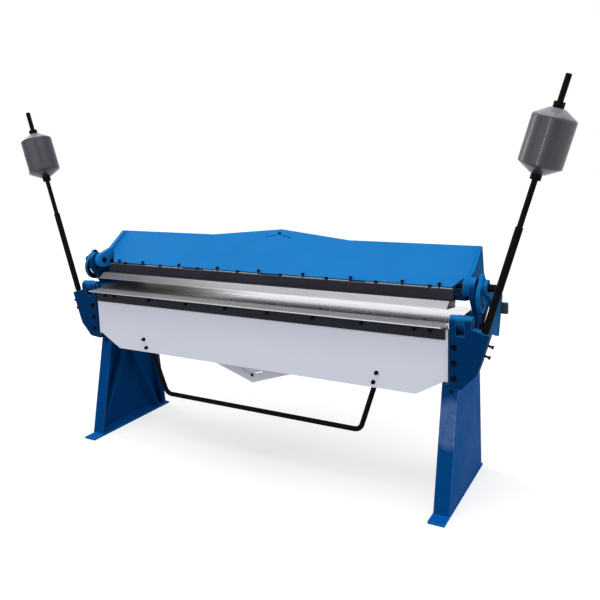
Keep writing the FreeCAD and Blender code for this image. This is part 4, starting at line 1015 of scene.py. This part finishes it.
class FOLDER_OT_counterweights(bpy.types.Operator):
    """Round and finish the weights, their rods, sleeves and collars with clamp screws"""
    bl_idname = "folder.counterweights"
    bl_label = "Counterweights"

    def execute(self, context):
        sizes = context.scene.folder_sizes
        for side in SIDES:
            self.turn_weight(side, sizes)
            for name in ("_weight_rod", "_rod_sleeve", "_weight_collars"):
                rounded(side + name, sizes.turned_edge, "black")
            self.add_screws(side)
        return {"FINISHED"}

    def turn_weight(self, side, sizes):
        """The weight with fine facets: a body between two cones, its shoulders rounded."""
        node, gap = side + "_counterweight", 0.0003
        at, axis, bore, _ = screw_seats(side + "_weight_rod")[0]
        low, under, over, high, radius = turned_levels(node, at, axis)
        weight = cylinder("weight", radius, over - under, 96)
        for up, end, shoulder in ((1, high, over), (-1, low, under)):
            stepped(weight, up, end - shoulder, scale=sizes.weight_neck / radius)
        rim(weight, 0, sizes.weight_edge, 3)
        rim(weight, under - over, 2 * sizes.weight_edge, 4)
        hole = cylinder("bore", bore + gap, 2 * (high - low))
        hole.location.z = high - low
        cut_by(weight, [hole])
        smooth(weight)
        turned = copies(weight, node + "_finished", [(at + axis * over, axis)])
        settle(turned, NODES[node]["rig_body"], "weight", node)

    def add_screws(self, side):
        """A small clamp screw in the front of each collar."""
        seats, proud = [], 0.004
        for part in loose_parts(side + "_weight_collars"):
            points = [v.co for v in part.data.vertices]
            centre = sum(points, Vector()) / len(points)
            front = min(p.y for p in points) - proud
            seats.append((Vector((centre.x, front, centre.z)), FRONT))
        screw = socket_screw("collar_screw", head=0.0055, height=0.006, neck=0.004,
                             length=0.010)
        settle(copies(screw, side + "_collar_screws", seats), side + "_weight", "black")


class FOLDER_OT_clamping_beam(bpy.types.Operator):
    """Round and finish the clamping beam: blade, holder bar, plates, gussets and stays"""
    bl_idname = "folder.clamping_beam"
    bl_label = "Clamping Beam"

    def execute(self, context):
        sizes = context.scene.folder_sizes
        for name, finish in (("clamp_blade", ("blade", "bare")),
                             ("blade_holder_bar", ("dark", "worn"))):
            rounded(name, sizes.ground_edge, finish,
                    lambda bar: bare_edge(bar, sizes.bare_edge))
        for name, finish in (("clamp_base_plate", "inside"), ("clamp_top_plate", "blue"),
                             ("clamp_gussets", "blue"), ("left_clamp_end_plate", "blue"),
                             ("right_clamp_end_plate", "end")):
            rounded(name, sizes.plate_edge, finish)
        rounded("clamp_end_studs", sizes.turned_edge, "black")
        self.weld_ends(sizes.weld_radius)
        self.weld_gussets(sizes.weld_radius)
        return {"FINISHED"}

    def weld_ends(self, radius):
        """A bead along each end of the sloping plate, against the end plate."""
        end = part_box("clamp_top_plate")[1].x
        centre, slope = largest_face("clamp_top_plate", lambda normal: normal.z > 0.4)
        lines = long_edges("clamp_top_plate", lambda co: (
            abs(abs(co.x) - end) < MERGE and abs((co - centre).dot(slope)) < MERGE))
        welds("end_plate_welds", lines, radius, "clamping_beam", "blue")

    def weld_gussets(self, radius):
        """Beads on both sides of each gusset, along the base plate."""
        foot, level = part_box("clamp_gussets")[0].z + 0.04, 0.3
        lines = [(start, end) for start, end in long_edges("clamp_gussets", lambda co: True)
                 if max(start.z, end.z) < foot and abs((end - start).normalized().z) < level]
        welds("gusset_welds", lines, radius, "clamping_beam", "blue")


class FOLDER_OT_clamp_levers(bpy.types.Operator):
    """Round and finish the clamp shafts, the cams and the hand levers with ribbed grips"""
    bl_idname = "folder.clamp_levers"
    bl_label = "Clamp Levers"

    def execute(self, context):
        sizes = context.scene.folder_sizes
        for side, cam in zip(SIDES, ("cam", "end")):
            rounded(side + "_clamp_shaft", sizes.turned_edge, "black")
            rounded(side + "_cam_plate", sizes.plate_edge, cam)
            rounded(side + "_clamp_lever", sizes.plate_edge, "end")
            self.add_grip(side, sizes.turned_edge * 0.5)
        return {"FINISHED"}

    def add_grip(self, side, edge):
        """The grip with shallow grooves across its outer face."""
        node, count, radius, margin = side + "_lever_grip", 5, 0.0014, 0.006
        low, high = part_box(node)
        out = high.x if side == "right" else low.x
        grooves = []
        for step in range(count):
            groove = cylinder("groove", radius, high.z - low.z - 2 * margin, 12)
            groove.location = (out, low.y + (step + 1) * (high.y - low.y) / (count + 1),
                               high.z - margin)
            grooves.append(groove)
        rounded(node, edge, "rubber", lambda grip: cut_by(grip, grooves), math.radians(40))


class FOLDER_OT_screws(bpy.types.Operator):
    """Round and finish the screws, and thread the blade holder's adjusting screws"""
    bl_idname = "folder.screws"
    bl_label = "Screws"

    def execute(self, context):
        sizes = context.scene.folder_sizes
        for name in ("cheek_bolts", "folding_bar_bolts", "apron_camber_screw", "bracket_bolts",
                     "rod_clamp_screws", "pull_handle_bolts", "clamp_camber_screw"):
            rounded(name, sizes.ground_edge, "black")
        self.add_holder_screws("holder_tall_screws", sizes.tall_head, sizes.tall_neck)
        self.add_holder_screws("holder_low_screws")
        return {"FINISHED"}

    def add_holder_screws(self, node, head=None, neck=None):
        """A node's screws with sockets, threaded below the head where its height is given."""
        seats = screw_seats(node)
        radius, length = seats[0][2:]
        screw = socket_screw("screw", radius, head or length, neck or radius, length)
        screws = copies(screw, node + "_finished", seats)
        settle(screws, NODES[node]["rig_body"], "black", node)


# Stage

# Name, place, point it aims at, width and height, and the setting that holds its power
SOFTBOXES = (
    ("overhead_softbox", (-0.2, -0.7, 4.2), (-0.2, 0, 0.9), (5.6, 2.8), "key_power"),
    ("side_softbox", (6.6, -0.4, 2.6), (0.8, 0, 0.7), (8.0, 5.0), "side_power"),
    ("front_softbox", (-1.4, -7.8, 3.6), (0, 0, 0.7), (9.0, 6.0), "front_power"),
    ("strip_softbox", (0.8, -5.4, 1.7), (1.0, 0, 1.5), (0.16, 2.8), "strip_power"),
    ("left_softbox", (-6.0, 0.9, 2.0), (-0.5, 0, 1.2), (2.4, 4.0), "left_power"))

FLOOR_SIZE, FLOOR_DROP = 60, 0.0005
SHADOW_REACH = (4.2, 4.2, 4.2)

# Where the photo was taken from, and how far its middle is off the lens's axis
CAMERA_PLACE = (1.8716, -2.8768, 1.6037)
CAMERA_SHIFT = (-0.0315, -0.0807)


def seen_directly(tree):
    """1 for what the camera, a mirror or a window shows, 0 for the light on the object."""
    path = tree.nodes.new("ShaderNodeLightPath")
    seen = path.outputs["Is Camera Ray"]
    for ray in ("Is Glossy Ray", "Is Transmission Ray"):
        either = tree.nodes.new("ShaderNodeMath")
        either.operation = "MAXIMUM"
        tree.links.new(seen, either.inputs[0])
        tree.links.new(path.outputs[ray], either.inputs[1])
        seen = either.outputs[0]
    return seen


class FOLDER_OT_stage(bpy.types.Operator):
    """Add the pale floor, the soft light and the camera"""
    bl_idname = "folder.stage"
    bl_label = "Stage"

    def execute(self, context):
        stage = context.scene.folder_stage
        self.add_floor()
        self.light_world(stage.fill)
        for name, place, aim, size, power in SOFTBOXES:
            bpy.ops.object.light_add(type="AREA", location=place)
            lamp = context.object
            lamp.name = name
            lamp.data.shape = "RECTANGLE"
            lamp.data.size, lamp.data.size_y = size
            lamp.data.energy = getattr(stage, power)
            turn = (Vector(aim) - Vector(place)).to_track_quat("-Z", "Y")
            lamp.rotation_euler = turn.to_euler()
        self.add_camera(context, stage)
        return {"FINISHED"}

    def add_floor(self):
        """A pale floor that keeps the shadow near the machine and fades to white."""
        bpy.ops.object.select_all(action="DESELECT")
        bpy.ops.mesh.primitive_plane_add(size=FLOOR_SIZE, location=(0, 0, -FLOOR_DROP))
        floor = started("studio_floor")
        freeze(floor)
        pale = Finish("pale_floor", {"Base Color": (0.42, 0.42, 0.42, 1), "Roughness": 1,
                                     "Specular IOR Level": 0})
        near = pale.patch((0, 0, 0), SHADOW_REACH)
        shown = pale.times(seen_directly(pale.tree), pale.ramp(near, 0, 1, 1, 0.58))
        glow = pale.add("ShaderNodeEmission", {"Strength": shown})
        both = pale.add("ShaderNodeAddShader", {0: pale.shader.outputs[0],
                                                1: glow.outputs[0]})
        pale.feed(both.outputs[0], pale.tree.nodes["Material Output"], "Surface")
        paint(floor, pale.material)

    def light_world(self, fill):
        world = bpy.data.worlds.new("studio_room")
        bpy.context.scene.world = world
        world.use_nodes = True
        tree = world.node_tree
        back = tree.nodes["Background"]
        back.inputs["Color"].default_value = (1, 1, 1, 1)
        strength = tree.nodes.new("ShaderNodeMapRange")
        strength.inputs["To Min"].default_value = fill
        strength.inputs["To Max"].default_value = 1
        tree.links.new(seen_directly(tree), strength.inputs["Value"])
        tree.links.new(strength.outputs["Result"], back.inputs["Strength"])

    def add_camera(self, context, stage):
        bpy.ops.object.camera_add(location=CAMERA_PLACE)
        camera = context.object
        camera.name = "folder_camera"
        turn = (Matrix.Rotation(stage.yaw, 3, "Z")
                @ Matrix.Rotation(math.pi / 2 - stage.pitch, 3, "X")
                @ Matrix.Rotation(stage.roll, 3, "Z"))
        camera.rotation_euler = turn.to_euler()
        camera.data.lens = stage.lens
        camera.data.shift_x, camera.data.shift_y = CAMERA_SHIFT
        context.scene.camera = camera
        context.scene.view_settings.view_transform = "Standard"


SETTINGS = {"folder_colours": FolderColours, "folder_sizes": FolderSizes,
            "folder_stage": FolderStage}
OPERATORS = (FOLDER_OT_stands, FOLDER_OT_bed, FOLDER_OT_folding_beam, FOLDER_OT_counterweights,
             FOLDER_OT_clamping_beam, FOLDER_OT_clamp_levers, FOLDER_OT_screws, FOLDER_OT_stage)


class FOLDER_PT_pieces(bpy.types.Panel):
    """Sizes, colours and pieces of the sheet metal folder"""
    bl_idname = "FOLDER_PT_pieces"
    bl_label = "Sheet Metal Folder"
    bl_space_type = "VIEW_3D"
    bl_region_type = "UI"
    bl_category = "Folder"

    def draw(self, context):
        for group in SETTINGS:
            box = self.layout.box()
            settings = getattr(context.scene, group)
            for name in settings.__annotations__:
                box.prop(settings, name)
        for operator in OPERATORS:
            self.layout.operator(operator.bl_idname)


CLASSES = (*SETTINGS.values(), *OPERATORS, FOLDER_PT_pieces)


def register():
    for item in CLASSES:
        bpy.utils.register_class(item)
    for name, group in SETTINGS.items():
        setattr(bpy.types.Scene, name, PointerProperty(type=group))


def unregister():
    for name in SETTINGS:
        delattr(bpy.types.Scene, name)
    for item in reversed(CLASSES):
        bpy.utils.unregister_class(item)


def main():
    register()
    mix_finishes()
    for operator in OPERATORS:
        group, name = operator.bl_idname.split(".")
        getattr(getattr(bpy.ops, group), name)()


if __name__ == "__main__":
    main()
